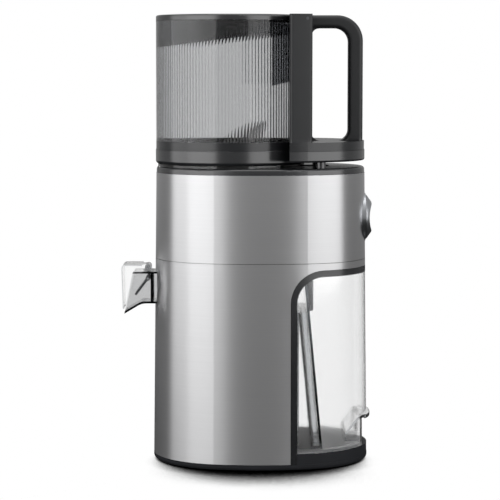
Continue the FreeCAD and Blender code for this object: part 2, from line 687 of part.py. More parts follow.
def make_drum():
    """Juicing drum: a stepped cup with a flange, a middle tube, a juice port and a pulp chute."""
    foot = WELL_FLOOR_Z + WELL_FLOOR + FIT
    flange_top = DECK_TOP + DRUM_FLANGE
    inner = DRUM_RADIUS - DRUM_WALL
    tube_inner = OUTPUT_SHAFT_RADIUS + DRUM_TUBE_GAP
    tube_outer = tube_inner + DRUM_TUBE_WALL
    cup = fuse(
        disc(SUMP_RADIUS, foot, DRUM_STEP_Z + 1),
        disc(DRUM_RADIUS, DRUM_STEP_Z, flange_top),
        disc(DRUM_FLANGE_RADIUS, DECK_TOP, flange_top),
    )
    chute_side = PULP_HALF_WIDTH + PULP_WALL
    chute = box(
        AXIS_X, PULP_END_X + PULP_WALL, -chute_side, chute_side, BAY_TOP + FIT * 2, PULP_ROOF + PULP_WALL
    )
    chute = chute.cut(disc(SUMP_RADIUS + FIT, BAY_TOP, DRUM_STEP_Z))
    face = box(PORT_FACE_X, AXIS_X, -SPOUT_HALF_WIDTH, SPOUT_HALF_WIDTH, foot, SPOUT_TOP_Z)
    cup = fuse(cup, chute, face)
    cup = cup.cut(disc(inner, CAGE_FLOOR_Z, flange_top + 1))
    cup = cup.cut(disc(SUMP_RADIUS - DRUM_WALL, foot + DRUM_FLOOR, flange_top))
    drains = []
    for i in range(DRAIN_COUNT):
        drain = box(0, inner, -DRAIN_WIDTH / 2, DRAIN_WIDTH / 2, CAGE_FLOOR_Z - DRAIN_DEPTH, CAGE_FLOOR_Z + 1)
        drain.translate(V(AXIS_X, 0, 0))
        drains.append(drain.rotate(V(AXIS_X, 0, 0), UP, 360 * (i + 0.5) / DRAIN_COUNT))
    tube = disc(tube_outer, foot, DRUM_TUBE_TOP)
    drum = fuse(cup.cut(Part.makeCompound(drains)), tube)
    drum = drum.cut(disc(tube_inner, foot - 1, DRUM_TUBE_TOP + 1))
    side = SPOUT_HALF_WIDTH - PORT_MARGIN
    port_end = AXIS_X - SUMP_RADIUS / 2
    port = box(PORT_FACE_X - 1, port_end, -side, side, foot + DRUM_FLOOR, SPOUT_TOP_Z - PORT_DROP)
    exit_z = CAGE_FLOOR_Z + CAGE_PLATE
    duct = box(AXIS_X + EXIT_RADIUS, PULP_END_X, -PULP_HALF_WIDTH, PULP_HALF_WIDTH, exit_z, PULP_ROOF)
    drop = box(PULP_START_X, PULP_END_X, -PULP_HALF_WIDTH, PULP_HALF_WIDTH, BAY_TOP - 5, PULP_ROOF)
    keep("drum", drum.cut(port).cut(duct).cut(drop))
    seal_bore = OUTPUT_SHAFT_RADIUS + 2 * RUNNING_CLEARANCE
    lip = ring(tube_outer, seal_bore, DRUM_TUBE_TOP, DRUM_TUBE_TOP + SEAL_HEIGHT)
    keep("shaft_seal", lip)


def make_strainer_cage():
    """Slotted cage inside the drum: a tapered wall on a floor plate, held by a rim at its top."""
    inner = DRUM_RADIUS - DRUM_WALL
    wall_z = CAGE_FLOOR_Z + CAGE_PLATE
    height = CAGE_TOP - wall_z
    wall = Part.makeCone(CAGE_FOOT_RADIUS, CAGE_TOP_RADIUS, height, V(AXIS_X, 0, wall_z))
    hollow = Part.makeCone(
        CAGE_FOOT_RADIUS - CAGE_WALL, CAGE_TOP_RADIUS - CAGE_WALL, height, V(AXIS_X, 0, wall_z)
    )
    plate = disc(inner - FIT, CAGE_FLOOR_Z, wall_z)
    rim = ring(inner - FIT, CAGE_TOP_RADIUS - CAGE_WALL, CAGE_TOP - CAGE_RIM, CAGE_TOP)
    collar_side = PULP_HALF_WIDTH + 2
    collar_x = AXIS_X + FLIGHT_RADIUS - 2
    collar = box(collar_x, AXIS_X + inner, -collar_side, collar_side, wall_z - 1, PULP_ROOF + 2)
    collar = collar.common(disc(inner - FIT, CAGE_FLOOR_Z, CAGE_TOP))
    cage = fuse(wall, plate, collar).cut(hollow)
    cage = fuse(cage, rim).cut(disc(OUTPUT_SHAFT_RADIUS + 6.5, CAGE_FLOOR_Z - 1, wall_z + 1))
    cuts = []
    for i in range(DRAIN_COUNT):
        notch = box(
            CAGE_FOOT_RADIUS + 0.5, inner, -DRAIN_WIDTH / 2, DRAIN_WIDTH / 2, CAGE_FLOOR_Z - 1, wall_z + 1
        )
        notch.translate(V(AXIS_X, 0, 0))
        cuts.append(notch.rotate(V(AXIS_X, 0, 0), UP, 360 * (i + 0.5) / DRAIN_COUNT))
    for i in range(CAGE_SLOTS):
        angle = 360 * (i + 0.5) / CAGE_SLOTS
        if math.cos(math.radians(angle)) > math.cos(math.radians(24)):
            continue
        slot = box(
            EXIT_RADIUS, inner - 2, -CAGE_SLOT_WIDTH / 2, CAGE_SLOT_WIDTH / 2,
            wall_z + CAGE_SLOT_MARGIN, CAGE_TOP - CAGE_SLOT_MARGIN,
        )
        slot.translate(V(AXIS_X, 0, 0))
        cuts.append(slot.rotate(V(AXIS_X, 0, 0), UP, angle))
    cage = cage.cut(Part.makeCompound(cuts))
    exit_x = AXIS_X + EXIT_RADIUS
    exit_way = box(exit_x, AXIS_X + inner + 2, -PULP_HALF_WIDTH, PULP_HALF_WIDTH, wall_z, PULP_ROOF)
    keep("strainer_cage", cage.cut(exit_way))


def flight_section(angle, z, root_radius):
    """One upright section of the auger's flight, in the plane through the axis."""
    turn = math.radians(angle)
    corners = [
        (root_radius, -FLIGHT_ROOT / 2),
        (FLIGHT_RADIUS, -FLIGHT_TIP / 2),
        (FLIGHT_RADIUS, FLIGHT_TIP / 2),
        (root_radius, FLIGHT_ROOT / 2),
    ]
    points = [V(AXIS_X + r * math.cos(turn), r * math.sin(turn), z + rise) for r, rise in corners]
    return Part.makePolygon(points + points[:1])


def make_auger():
    """Squeezing screw: a tapered core with two helical flights, a hex drive bush and the wing."""
    foot = AUGER_FOOT_Z
    core = Part.makeCone(AUGER_FOOT_RADIUS, AUGER_NECK_RADIUS, AUGER_TOP - foot, V(AXIS_X, 0, foot))
    root_radius = AUGER_NECK_RADIUS - FLIGHT_BURY
    start_z = foot + FLIGHT_ROOT / 2
    climb = (FLIGHT_TOP - FLIGHT_ROOT / 2 - start_z) / FLIGHT_TURNS
    steps = round(360 * FLIGHT_TURNS / FLIGHT_STEP)
    flights = []
    for start in range(FLIGHT_STARTS):
        sections = [
            flight_section(
                start * 360 / FLIGHT_STARTS + i * FLIGHT_STEP,
                start_z + climb * i * FLIGHT_STEP / 360,
                root_radius,
            )
            for i in range(steps + 1)
        ]
        flights.append(Part.makeLoft(sections, True, True))
    bush_top = foot + DRIVE_DEPTH
    bush_radius = DRIVE_HEX / math.sqrt(3) + DRIVE_BUSH_WALL
    auger = fuse(core, *flights).cut(disc(bush_radius, foot - 1, bush_top))
    keep("auger", auger)
    socket = hexagon(DRIVE_HEX + 2 * RUNNING_CLEARANCE, foot - 1, bush_top + 1)
    keep("drive_bush", disc(bush_radius, foot, bush_top).cut(socket))


def make_cutting_wing():
    """Wing on top of the auger that cuts and draws the fruit down: a hub and one rising blade."""
    hub_z = AUGER_TOP
    hub = Part.makeCone(AUGER_NECK_RADIUS, WING_HUB_RADIUS, WING_HUB_TOP - hub_z, V(AXIS_X, 0, hub_z))
    stations = [
        (2.0, hub_z + 2, WING_HUB_TOP + 1, 11.0),
        (WING_REACH * 0.45, WING_HUB_TOP - 3, WING_HUB_TOP + 14, 8.0),
        (WING_REACH * 0.8, WING_TIP_Z - 17, WING_TIP_Z - 3, 5.0),
        (WING_REACH, WING_TIP_Z - 4, WING_TIP_Z, 2.5),
    ]
    sections = []
    for reach, low, high, thickness in stations:
        half = thickness / 2
        points = [
            V(AXIS_X + reach, -half, low),
            V(AXIS_X + reach, half, low),
            V(AXIS_X + reach, half * 0.4, high),
            V(AXIS_X + reach, -half * 0.4, high),
        ]
        sections.append(Part.makePolygon(points + points[:1]))
    blade = Part.makeLoft(sections, True, True)
    wing = fuse(hub, blade)
    keep("cutting_wing", wing.rotate(V(AXIS_X, 0, 0), UP, WING_ANGLE))


CENTRE_DISTANCE = MODULE * (PINION_TEETH + GEAR_TEETH) / 2


def obround(radius, z0, z1):
    """The outline of the gear case: one round end on each shaft, joined by straight sides."""
    ends = [disc(radius, z0, z1), disc(radius, z0, z1, AXIS_X, CENTRE_DISTANCE)]
    middle = box(AXIS_X - radius, AXIS_X + radius, 0, CENTRE_DISTANCE, z0, z1)
    return fuse(*ends, middle)


def make_gears():
    """Two equal reduction stages; the output shaft stands in line with the motor's."""
    gear_radius = MODULE * GEAR_TEETH / 2 + MODULE
    cavity = gear_radius + CASE_CLEARANCE
    shell = cavity + CASE_WALL
    half_tooth = math.pi / GEAR_TEETH
    keep("motor_pinion", gear(PINION_TEETH, PINION_HEX, STAGE_ONE_Z, AXIS_X, 0, math.pi / 2))
    turned = -math.pi / 2 + half_tooth
    keep("counter_gear", gear(GEAR_TEETH, PINION_HEX, STAGE_ONE_Z, AXIS_X, CENTRE_DISTANCE, turned))
    small = gear(PINION_TEETH, PINION_HEX, STAGE_TWO_Z, AXIS_X, CENTRE_DISTANCE, -math.pi / 2)
    keep("counter_pinion", small)
    keep("output_gear", gear(GEAR_TEETH, OUTPUT_HEX, STAGE_TWO_Z, AXIS_X, 0, math.pi / 2 + half_tooth))

    case_floor = MOTOR_TOP + SEAT_GAP
    case_base = case_floor + CASE_WALL
    case = obround(shell, case_floor, CASE_SPLIT_Z).cut(obround(cavity, case_base, CASE_SPLIT_Z + 1))
    case = case.cut(disc(MOTOR_SHAFT_RADIUS + 2, case_floor - 1, case_base + 1))
    bush_radius = COUNTER_JOURNAL_RADIUS + RUNNING_CLEARANCE + BUSH_WALL
    bush_z = (case_floor + 0.5, STAGE_ONE_Z - 0.5)
    case = fuse(case, disc(bush_radius + 2, case_floor, bush_z[1], AXIS_X, CENTRE_DISTANCE))
    case = case.cut(disc(bush_radius, bush_z[0], bush_z[1] + 1, AXIS_X, CENTRE_DISTANCE))
    keep("gear_case", case)

    cover_top = WELL_FLOOR_Z - SEAT_GAP
    cover = obround(shell, CASE_SPLIT_Z + SEAT_GAP, cover_top)
    bearing_foot = CASE_SPLIT_Z + SEAT_GAP
    bearing_top = bearing_foot + BEARING_WIDTH
    cover = cover.cut(disc(BEARING_RADIUS, bearing_foot - 1, bearing_top))
    cover = cover.cut(disc(OUTPUT_SHAFT_RADIUS + 1, bearing_top - 1, cover_top + 1))
    upper_bush = (bearing_foot, bearing_foot + BUSH_HEIGHT)
    cover = cover.cut(disc(bush_radius, upper_bush[0] - 1, upper_bush[1], AXIS_X, CENTRE_DISTANCE))
    places = [(AXIS_X + side * (shell - SCREW_MARGIN), y) for side in (-1, 1) for y in (0, CENTRE_DISTANCE)]
    for x, y in places:
        cover = cover.cut(disc(SCREW_RADIUS, bearing_foot - 1, cover_top - 2, x, y))
        cover = cover.cut(disc(SCREW_RADIUS * 2, cover_top - 2, cover_top + 1, x, y))
    keep("gear_cover", cover)
    keep("cover_screws", screws(places, SCREW_RADIUS, bearing_foot + 0.1, cover_top - 2, SCREW_HEAD))
    bearing_bore = OUTPUT_SHAFT_RADIUS + RUNNING_CLEARANCE
    keep("output_bearing", ring(BEARING_RADIUS, bearing_bore, bearing_foot, bearing_top))
    bushes = [
        ring(bush_radius, COUNTER_JOURNAL_RADIUS + RUNNING_CLEARANCE, z0, z1, AXIS_X, CENTRE_DISTANCE)
        for z0, z1 in (bush_z, upper_bush)
    ]
    keep("counter_bushes", Part.makeCompound(bushes))

    journal = disc(COUNTER_JOURNAL_RADIUS, bush_z[0] + 0.5, upper_bush[1] - 0.5, AXIS_X, CENTRE_DISTANCE)
    key = hexagon(PINION_HEX, STAGE_ONE_Z, STAGE_TWO_Z + GEAR_WIDTH, AXIS_X, CENTRE_DISTANCE)
    keep("counter_shaft", fuse(journal, key))
    hex_foot = STAGE_TWO_Z
    drive_foot = AUGER_FOOT_Z - 1
    shaft = disc(OUTPUT_SHAFT_RADIUS, STAGE_TWO_Z + GEAR_WIDTH, drive_foot)
    lower_key = hexagon(OUTPUT_HEX, hex_foot, STAGE_TWO_Z + GEAR_WIDTH)
    upper_key = hexagon(DRIVE_HEX, drive_foot - 1, drive_foot + DRIVE_DEPTH - 2)
    keep("output_shaft", fuse(shaft, lower_key, upper_key))


def make_motor():
    """Motor can with an end boss, and its shaft with a hexagonal end for the pinion."""
    can = disc(MOTOR_RADIUS, MOTOR_FOOT_Z, MOTOR_TOP)
    rims = [e for e in can.Edges if e.Curve.TypeId == "Part::GeomCircle"]
    can = can.makeFillet(MOTOR_EDGE_ROUND, rims)
    vents = []
    half = MOTOR_VENT_WIDTH / 2
    for i in range(MOTOR_VENTS):
        slot = box(
            MOTOR_RADIUS - MOTOR_VENT_DEPTH, MOTOR_RADIUS + 2, -half, half,
            MOTOR_FOOT_Z + MOTOR_VENT_MARGIN, MOTOR_TOP - MOTOR_VENT_MARGIN,
        )
        slot.translate(V(AXIS_X, 0, 0))
        vents.append(slot.rotate(V(AXIS_X, 0, 0), UP, 360 * i / MOTOR_VENTS))
    bore = disc(MOTOR_SHAFT_RADIUS + RUNNING_CLEARANCE, MOTOR_TOP - MOTOR_SHAFT_DEPTH, MOTOR_TOP + 1)
    keep("motor_can", can.cut(Part.makeCompound(vents)).cut(bore))
    shaft = disc(MOTOR_SHAFT_RADIUS, MOTOR_TOP - MOTOR_SHAFT_DEPTH + FIT, STAGE_ONE_Z)
    key = hexagon(PINION_HEX, STAGE_ONE_Z, STAGE_ONE_Z + GEAR_WIDTH)
    keep("motor_shaft", fuse(shaft, key))


def back_block(z0, z1, inset, front=COLUMN_FRONT, back=BODY_HALF_LENGTH):
    """The part of the oval behind the round tank."""
    wide = BODY_HALF_WIDTH
    return straight_block(z0, z1, inset).common(box(front, back, -wide, wide, z0, z1))


def make_hopper():
    """Hopper base ring, band with back columns and loop handle, and the ribbed tank."""
    inset = body_inset(HOPPER_FOOT_Z)
    round_base = disc(RING_RADIUS, HOPPER_FOOT_Z, HOPPER_SPLIT_Z)
    foot_edges = [e for e in round_base.Edges if e.BoundBox.ZMax < HOPPER_FOOT_Z + 0.01]
    round_base = round_base.makeFillet(DECK_EDGE_ROUND, foot_edges)
    back_base = back_block(BLOCK_FOOT_Z, HOPPER_SPLIT_Z, inset)
    foot_edges = [e for e in back_base.Edges if e.BoundBox.ZMax < BLOCK_FOOT_Z + 0.01]
    back_base = back_base.makeFillet(BLOCK_EDGE_ROUND, foot_edges)
    base = fuse(round_base, back_base)
    skirt = disc(MOUTH_RADIUS, HOPPER_FOOT_Z - SKIRT_DEPTH, HOPPER_FOOT_Z + 1)
    base = fuse(base, skirt).cut(
        disc(MOUTH_RADIUS - SKIRT_WALL, HOPPER_FOOT_Z - SKIRT_DEPTH - 1, HOPPER_SPLIT_Z + 1)
    )
    pocket_z = BLOCK_FOOT_Z + PAN_WALL
    pocket = back_block(pocket_z, HOPPER_SPLIT_Z + 1, inset + PAN_WALL + 1, COLUMN_FRONT + PAN_WALL)
    base = base.cut(pocket.cut(disc(RING_RADIUS, HOPPER_FOOT_Z, HOPPER_SPLIT_Z + 2)))
    magnet_top = pocket_z + MAGNET_HEIGHT
    keep("hopper_base", base)
    keep("interlock_magnet", disc(MAGNET_RADIUS, pocket_z, magnet_top, INTERLOCK_X))
    sensor_top = METAL_TOP + SEAT_GAP
    half = SENSOR_SIZE / 2
    keep(
        "interlock_sensor",
        box(INTERLOCK_X - half, INTERLOCK_X + half, -half, half, sensor_top - SENSOR_HEIGHT, sensor_top),
    )

    band_inset = inset + BAND_INSET
    band_foot = HOPPER_SPLIT_Z + SEAT_GAP
    band = fuse(
        disc(RING_RADIUS - BAND_INSET, band_foot, TANK_FOOT_Z),
        back_block(band_foot, TANK_FOOT_Z, band_inset),
    )
    columns = back_block(TANK_FOOT_Z - 1, LID_TOP, band_inset, COLUMN_FRONT, COLUMN_BACK)
    upright = [e for e in columns.Edges if e.BoundBox.ZLength > LID_TOP - TANK_FOOT_Z]
    corner_x = (COLUMN_FRONT, COLUMN_BACK)
    corners = [e for e in upright if min(abs(e.BoundBox.XMin - x) for x in corner_x) < 0.01]
    columns = columns.makeFillet(COLUMN_ROUND, corners)
    columns = columns.cut(disc(TANK_RADIUS + SEAT_GAP, TANK_FOOT_Z, TANK_TOP + FIT))
    columns = columns.cut(
        disc(TANK_RADIUS + LID_GAP, TANK_TOP, LID_TOP + 1).common(
            box(AXIS_X, LID_BACK + LID_GAP, -BODY_HALF_WIDTH, BODY_HALF_WIDTH, TANK_TOP, LID_TOP + 1)
        )
    )
    for side in (-1, 1):
        low, high = sorted((side * (KNUCKLE_INNER_Y - KNUCKLE_GAP), side * (KNUCKLE_OUTER_Y + KNUCKLE_GAP)))
        slot = box(COLUMN_FRONT - 5, COLUMN_BACK + 1, low, high, HINGE_Z - KNUCKLE_RADIUS - 1, LID_TOP + 1)
        columns = columns.cut(slot)
    handle = make_handle(band_foot)
    frame = fuse(band, columns, handle).cut(disc(TANK_RADIUS - BAND_LIP, band_foot - 1, TANK_FOOT_Z + 1))
    frame = frame.cut(across(HINGE_X, HINGE_Z, HINGE_PIN_RADIUS, -BODY_HALF_WIDTH, -PIN_INNER_Y))
    frame = frame.cut(across(HINGE_X, HINGE_Z, HINGE_PIN_RADIUS, PIN_INNER_Y, BODY_HALF_WIDTH))
    keep("hopper_frame", frame)
    make_tank()


def make_handle(foot):
    """Loop handle behind the tank, a plate with a finger hole and rounded edges."""
    outline = [
        (COLUMN_BACK - 2, foot, 0),
        (HANDLE_BACK, foot, 0),
        (HANDLE_BACK, LID_TOP, HANDLE_CORNER),
        (COLUMN_BACK - 2, LID_TOP, 0),
    ]
    hole_back = HANDLE_BACK - HANDLE_BAR
    hole_top = LID_TOP - HANDLE_TOP_BAR
    hole_front = COLUMN_BACK + 0.5
    widest_round = 0.7 * (hole_back - hole_front) - HOLE_FRONT_ROUND
    hole = [
        (hole_front, TANK_FOOT_Z, HOLE_FRONT_ROUND),
        (hole_back, TANK_FOOT_Z, min(HOLE_FOOT_ROUND, widest_round)),
        (hole_back, hole_top, min(HOLE_TOP_ROUND, widest_round)),
        (hole_front, hole_top, HOLE_FRONT_ROUND),
    ]
    plate = side_prism(outline, -HANDLE_HALF_WIDTH, HANDLE_HALF_WIDTH)
    plate = plate.cut(side_prism(hole, -HANDLE_HALF_WIDTH - 1, HANDLE_HALF_WIDTH + 1))
    rounded = []
    for edge in plate.Edges:
        bounds = edge.BoundBox
        flat = bounds.YLength < 0.01 and abs(abs(bounds.YMin) - HANDLE_HALF_WIDTH) < 0.01
        joined = bounds.XMax < COLUMN_BACK + 0.1 or bounds.ZMax < foot + 0.1
        if flat and not joined:
            rounded.append(edge)
    return plate.makeFillet(HANDLE_EDGE_ROUND, rounded)


def make_tank():
    """Clear ribbed tank: a smooth round outside and upright flutes all round the inside."""
    inner = TANK_RADIUS - TANK_WALL
    flutes = []
    for i in range(TANK_FLUTES):
        angles = [2 * math.pi * (i + share) / TANK_FLUTES for share in (0.0, 0.5, 1.0)]
        radii = [inner, inner + FLUTE_DEPTH, inner]
        points = [
            V(AXIS_X + r * math.cos(a), r * math.sin(a), TANK_FOOT_Z) for r, a in zip(radii, angles)
        ]
        flutes.append(Part.Arc(*points).toShape())
    hollow = Part.Face(Part.Wire(flutes)).extrude(V(0, 0, TANK_TOP - TANK_FOOT_Z))
    keep("hopper_tank", disc(TANK_RADIUS, TANK_FOOT_Z, TANK_TOP).cut(hollow))


def make_lid():
    """Round lid cut straight at the back, with two hinge arms, and the guard hung under it."""
    foot = TANK_TOP + FIT
    radius = TANK_RADIUS
    blank = disc(radius, foot, LID_TOP)
    blank = blank.common(box(AXIS_X - radius, LID_BACK, -radius, radius, foot, LID_TOP))
    top_edges = [e for e in blank.Edges if e.BoundBox.ZMin > LID_TOP - 0.01]
    blank = blank.makeFillet(LID_EDGE_ROUND, top_edges)
    hollow = disc(radius - LID_RIM, foot - 1, LID_TOP - LID_PLATE).common(
        box(AXIS_X - radius, LID_BACK - LID_RIM, -radius, radius, foot - 1, LID_TOP)
    )
    lid = blank.cut(hollow)
    for side in (-1, 1):
        low, high = sorted((side * KNUCKLE_INNER_Y, side * KNUCKLE_OUTER_Y))
        arm = box(HINGE_X - HINGE_ARM, HINGE_X, low, high, foot, HINGE_Z + KNUCKLE_RADIUS)
        lid = lid.fuse(arm).fuse(across(HINGE_X, HINGE_Z, KNUCKLE_RADIUS, low, high))
        lid = lid.cut(across(HINGE_X, HINGE_Z, HINGE_PIN_RADIUS + RUNNING_CLEARANCE, low - 1, high + 1))
    keep("lid", lid)
    pins = []
    nose = NOSE_RADIUS - body_inset(HOPPER_FOOT_Z) - BAND_INSET
    flank_y = math.sqrt(nose**2 - (HINGE_X - NOSE_CENTRE) ** 2)
    for side in (-1, 1):
        low, high = sorted((side * PIN_INNER_Y, side * flank_y))
        pins.append(across(HINGE_X, HINGE_Z, HINGE_PIN_RADIUS, low, high))
    keep("lid_hinge_pins", Part.makeCompound(pins))

    guard_top = LID_TOP - LID_PLATE
    wall = ring(GUARD_RADIUS, GUARD_RADIUS - GUARD_WALL, TONGUE_FOOT_Z, guard_top)
    front_x = AXIS_X - GUARD_RADIUS - 5
    slope = (GUARD_BACK_Z - GUARD_FRONT_Z) / (TONGUE_BACK_X - front_x)
    tongue_z = GUARD_FRONT_Z + slope * (TONGUE_FRONT_X - front_x)
    outline = [
        (front_x, guard_top, 0),
        (front_x, GUARD_FRONT_Z, 0),
        (TONGUE_FRONT_X, tongue_z, 0),
        (TONGUE_FRONT_X, TONGUE_FOOT_Z, 0),
        (TONGUE_BACK_X, TONGUE_FOOT_Z + TONGUE_SLANT, 0),
        (TONGUE_BACK_X, guard_top, 0),
    ]
    keep("lid_guard", wall.common(side_prism(outline, -GUARD_RADIUS - 5, GUARD_RADIUS + 5)))


def make_spout():
    """Clear juice spout plugged into the front: a channel with a slanting mouth and a curved lip."""
    wide = SPOUT_HALF_WIDTH
    wall = SPOUT_WALL
    outer = [
        (SPOUT_ROOT_X, SPOUT_FOOT_Z, 0),
        (SPOUT_ROOT_X, SPOUT_TOP_Z, 0),
        (SPOUT_BROW_X, SPOUT_TOP_Z, SPOUT_BROW_ROUND),
        (SPOUT_TIP_X, SPOUT_TIP_Z, 0),
        (SPOUT_LIP_X, SPOUT_FOOT_Z, SPOUT_LIP_ROUND),
    ]
    run = V(SPOUT_LIP_X - SPOUT_TIP_X, 0, SPOUT_FOOT_Z - SPOUT_TIP_Z).normalize()
    lift = V(-run.z, 0, run.x) * wall
    tip = V(SPOUT_TIP_X, 0, SPOUT_TIP_Z) + lift - run * 8
    bend_x = SPOUT_LIP_X + lift.x + (SPOUT_FOOT_Z + wall - SPOUT_FOOT_Z - lift.z) * run.x / run.z
    inner = [
        (SPOUT_ROOT_X + 5, SPOUT_FOOT_Z + wall, 0),
        (SPOUT_ROOT_X + 5, SPOUT_TOP_Z - wall, 0),
        (tip.x, SPOUT_TOP_Z - wall, 0),
        (tip.x, tip.z, 0),
        (bend_x, SPOUT_FOOT_Z + wall, SPOUT_LIP_ROUND - wall),
    ]
    spout = side_prism(outer, -wide, wide).cut(side_prism(inner, -wide + wall, wide - wall))
    for side in (-1, 1):
        low, high = sorted((side * (CAP_KNUCKLE_HALF + FIT), side * (CAP_KNUCKLE_HALF + FIT + LUG_WIDTH)))
        lug = box(
            CAP_HINGE_X - CAP_KNUCKLE_RADIUS, CAP_HINGE_X + CAP_KNUCKLE_RADIUS, low, high,
            SPOUT_TOP_Z - 1, CAP_HINGE_Z,
        )
        eye = across(CAP_HINGE_X, CAP_HINGE_Z, CAP_KNUCKLE_RADIUS, low, high)
        hole = across(CAP_HINGE_X, CAP_HINGE_Z, CAP_PIN_RADIUS, low - 1, high + 1)
        spout = spout.fuse(lug).fuse(eye).cut(hole)
    pin_end = CAP_KNUCKLE_HALF + FIT + LUG_WIDTH
    keep("cap_pin", across(CAP_HINGE_X, CAP_HINGE_Z, CAP_PIN_RADIUS, -pin_end, pin_end))
    flap_y = wide - wall
    bearing = across(FLAP_HINGE_X, FLAP_HINGE_Z, FLAP_PIN_RADIUS + RUNNING_CLEARANCE, -wide - 1, wide + 1)
    keep("juice_spout", spout.cut(bearing))

    gasket_side = wide - GASKET_MARGIN
    port_side = wide - PORT_MARGIN
    port_top = SPOUT_TOP_Z - PORT_DROP
    port_foot = WELL_FLOOR_Z + WELL_FLOOR + FIT + DRUM_FLOOR
    gasket = box(
        SPOUT_ROOT_X, PORT_FACE_X - SEAT_GAP, -gasket_side, gasket_side,
        SPOUT_FOOT_Z + GASKET_MARGIN, SPOUT_TOP_Z - GASKET_MARGIN,
    )
    opening = box(SPOUT_ROOT_X - 5, PORT_FACE_X + 5, -port_side, port_side, port_foot, port_top)
    keep("spout_gasket", gasket.cut(opening))
    seat = box(
        SEAT_X - SEAT_THICKNESS, SEAT_X, -flap_y, flap_y, SPOUT_FOOT_Z + wall, SPOUT_TOP_Z - wall
    )
    way = box(
        SEAT_X - 10, SEAT_X + 10, SEAT_RIM - flap_y, flap_y - SEAT_RIM,
        SPOUT_FOOT_Z + wall + SEAT_RIM, FLAP_HINGE_Z - SEAT_RIM,
    )
    keep("flap_seat", seat.cut(way))
    make_flap(flap_y - FIT)
    make_spout_cap()


def make_flap(half_width):
    """Drip flap hung across the channel; it is drawn swung open, as the photo shows it."""
    pin = across(FLAP_HINGE_X, FLAP_HINGE_Z, FLAP_PIN_RADIUS, -SPOUT_HALF_WIDTH, SPOUT_HALF_WIDTH)
    half = FLAP_THICKNESS / 2
    blade = box(
        FLAP_HINGE_X - half, FLAP_HINGE_X + half, -half_width, half_width,
        FLAP_HINGE_Z - FLAP_LENGTH, FLAP_HINGE_Z,
    )
    knuckle = across(FLAP_HINGE_X, FLAP_HINGE_Z, FLAP_PIN_RADIUS + FLAP_KNUCKLE_WALL, -half_width, half_width)
    flap = fuse(blade, knuckle)
    flap = flap.rotate(V(FLAP_HINGE_X, 0, FLAP_HINGE_Z), V(0, 1, 0), FLAP_OPEN_ANGLE)
    keep("drip_flap", flap.cut(pin))
    keep("flap_pin", pin)


def make_spout_cap():
    """Thin clear cap hinged on top of the spout; it stands in front of the mouth against splashes."""
    wide = SPOUT_HALF_WIDTH + CAP_SIDE_GAP + CAP_WALL
    reach = CAP_HINGE_X - 2 * CAP_KNUCKLE_RADIUS
    outer = [
        (reach, CAP_TOP_Z, 0),
        (CAP_FRONT_X, CAP_TOP_Z, CAP_CORNER),
        (CAP_FOOT_X, CAP_FOOT_Z, 0),
        (CAP_FOOT_X + CAP_STEP, CAP_FOOT_Z, 0),
        (SPOUT_BROW_X + 2, SPOUT_TOP_Z - 4, 0),
        (reach, SPOUT_TOP_Z - 2, 0),
    ]
    inner = [
        (reach + 20, CAP_TOP_Z - CAP_WALL, 0),
        (CAP_FRONT_X + CAP_WALL, CAP_TOP_Z - CAP_WALL, CAP_CORNER - 1.0),
        (CAP_FOOT_X + CAP_WALL, CAP_FOOT_Z - 5, 0),
        (reach + 20, CAP_FOOT_Z - 5, 0),
    ]
    cap = side_prism(outer, -wide, wide).cut(side_prism(inner, CAP_WALL - wide, wide - CAP_WALL))
    half = CAP_KNUCKLE_HALF
    arm = box(reach - 1, CAP_HINGE_X, -half, half, CAP_TOP_Z - CAP_WALL, CAP_TOP_Z)
    knuckle = across(CAP_HINGE_X, CAP_HINGE_Z, CAP_KNUCKLE_RADIUS, -half, half)
    hole = across(CAP_HINGE_X, CAP_HINGE_Z, CAP_PIN_RADIUS + RUNNING_CLEARANCE, -half - 1, half + 1)
    keep("spout_cap", fuse(cap, arm, knuckle).cut(hole))


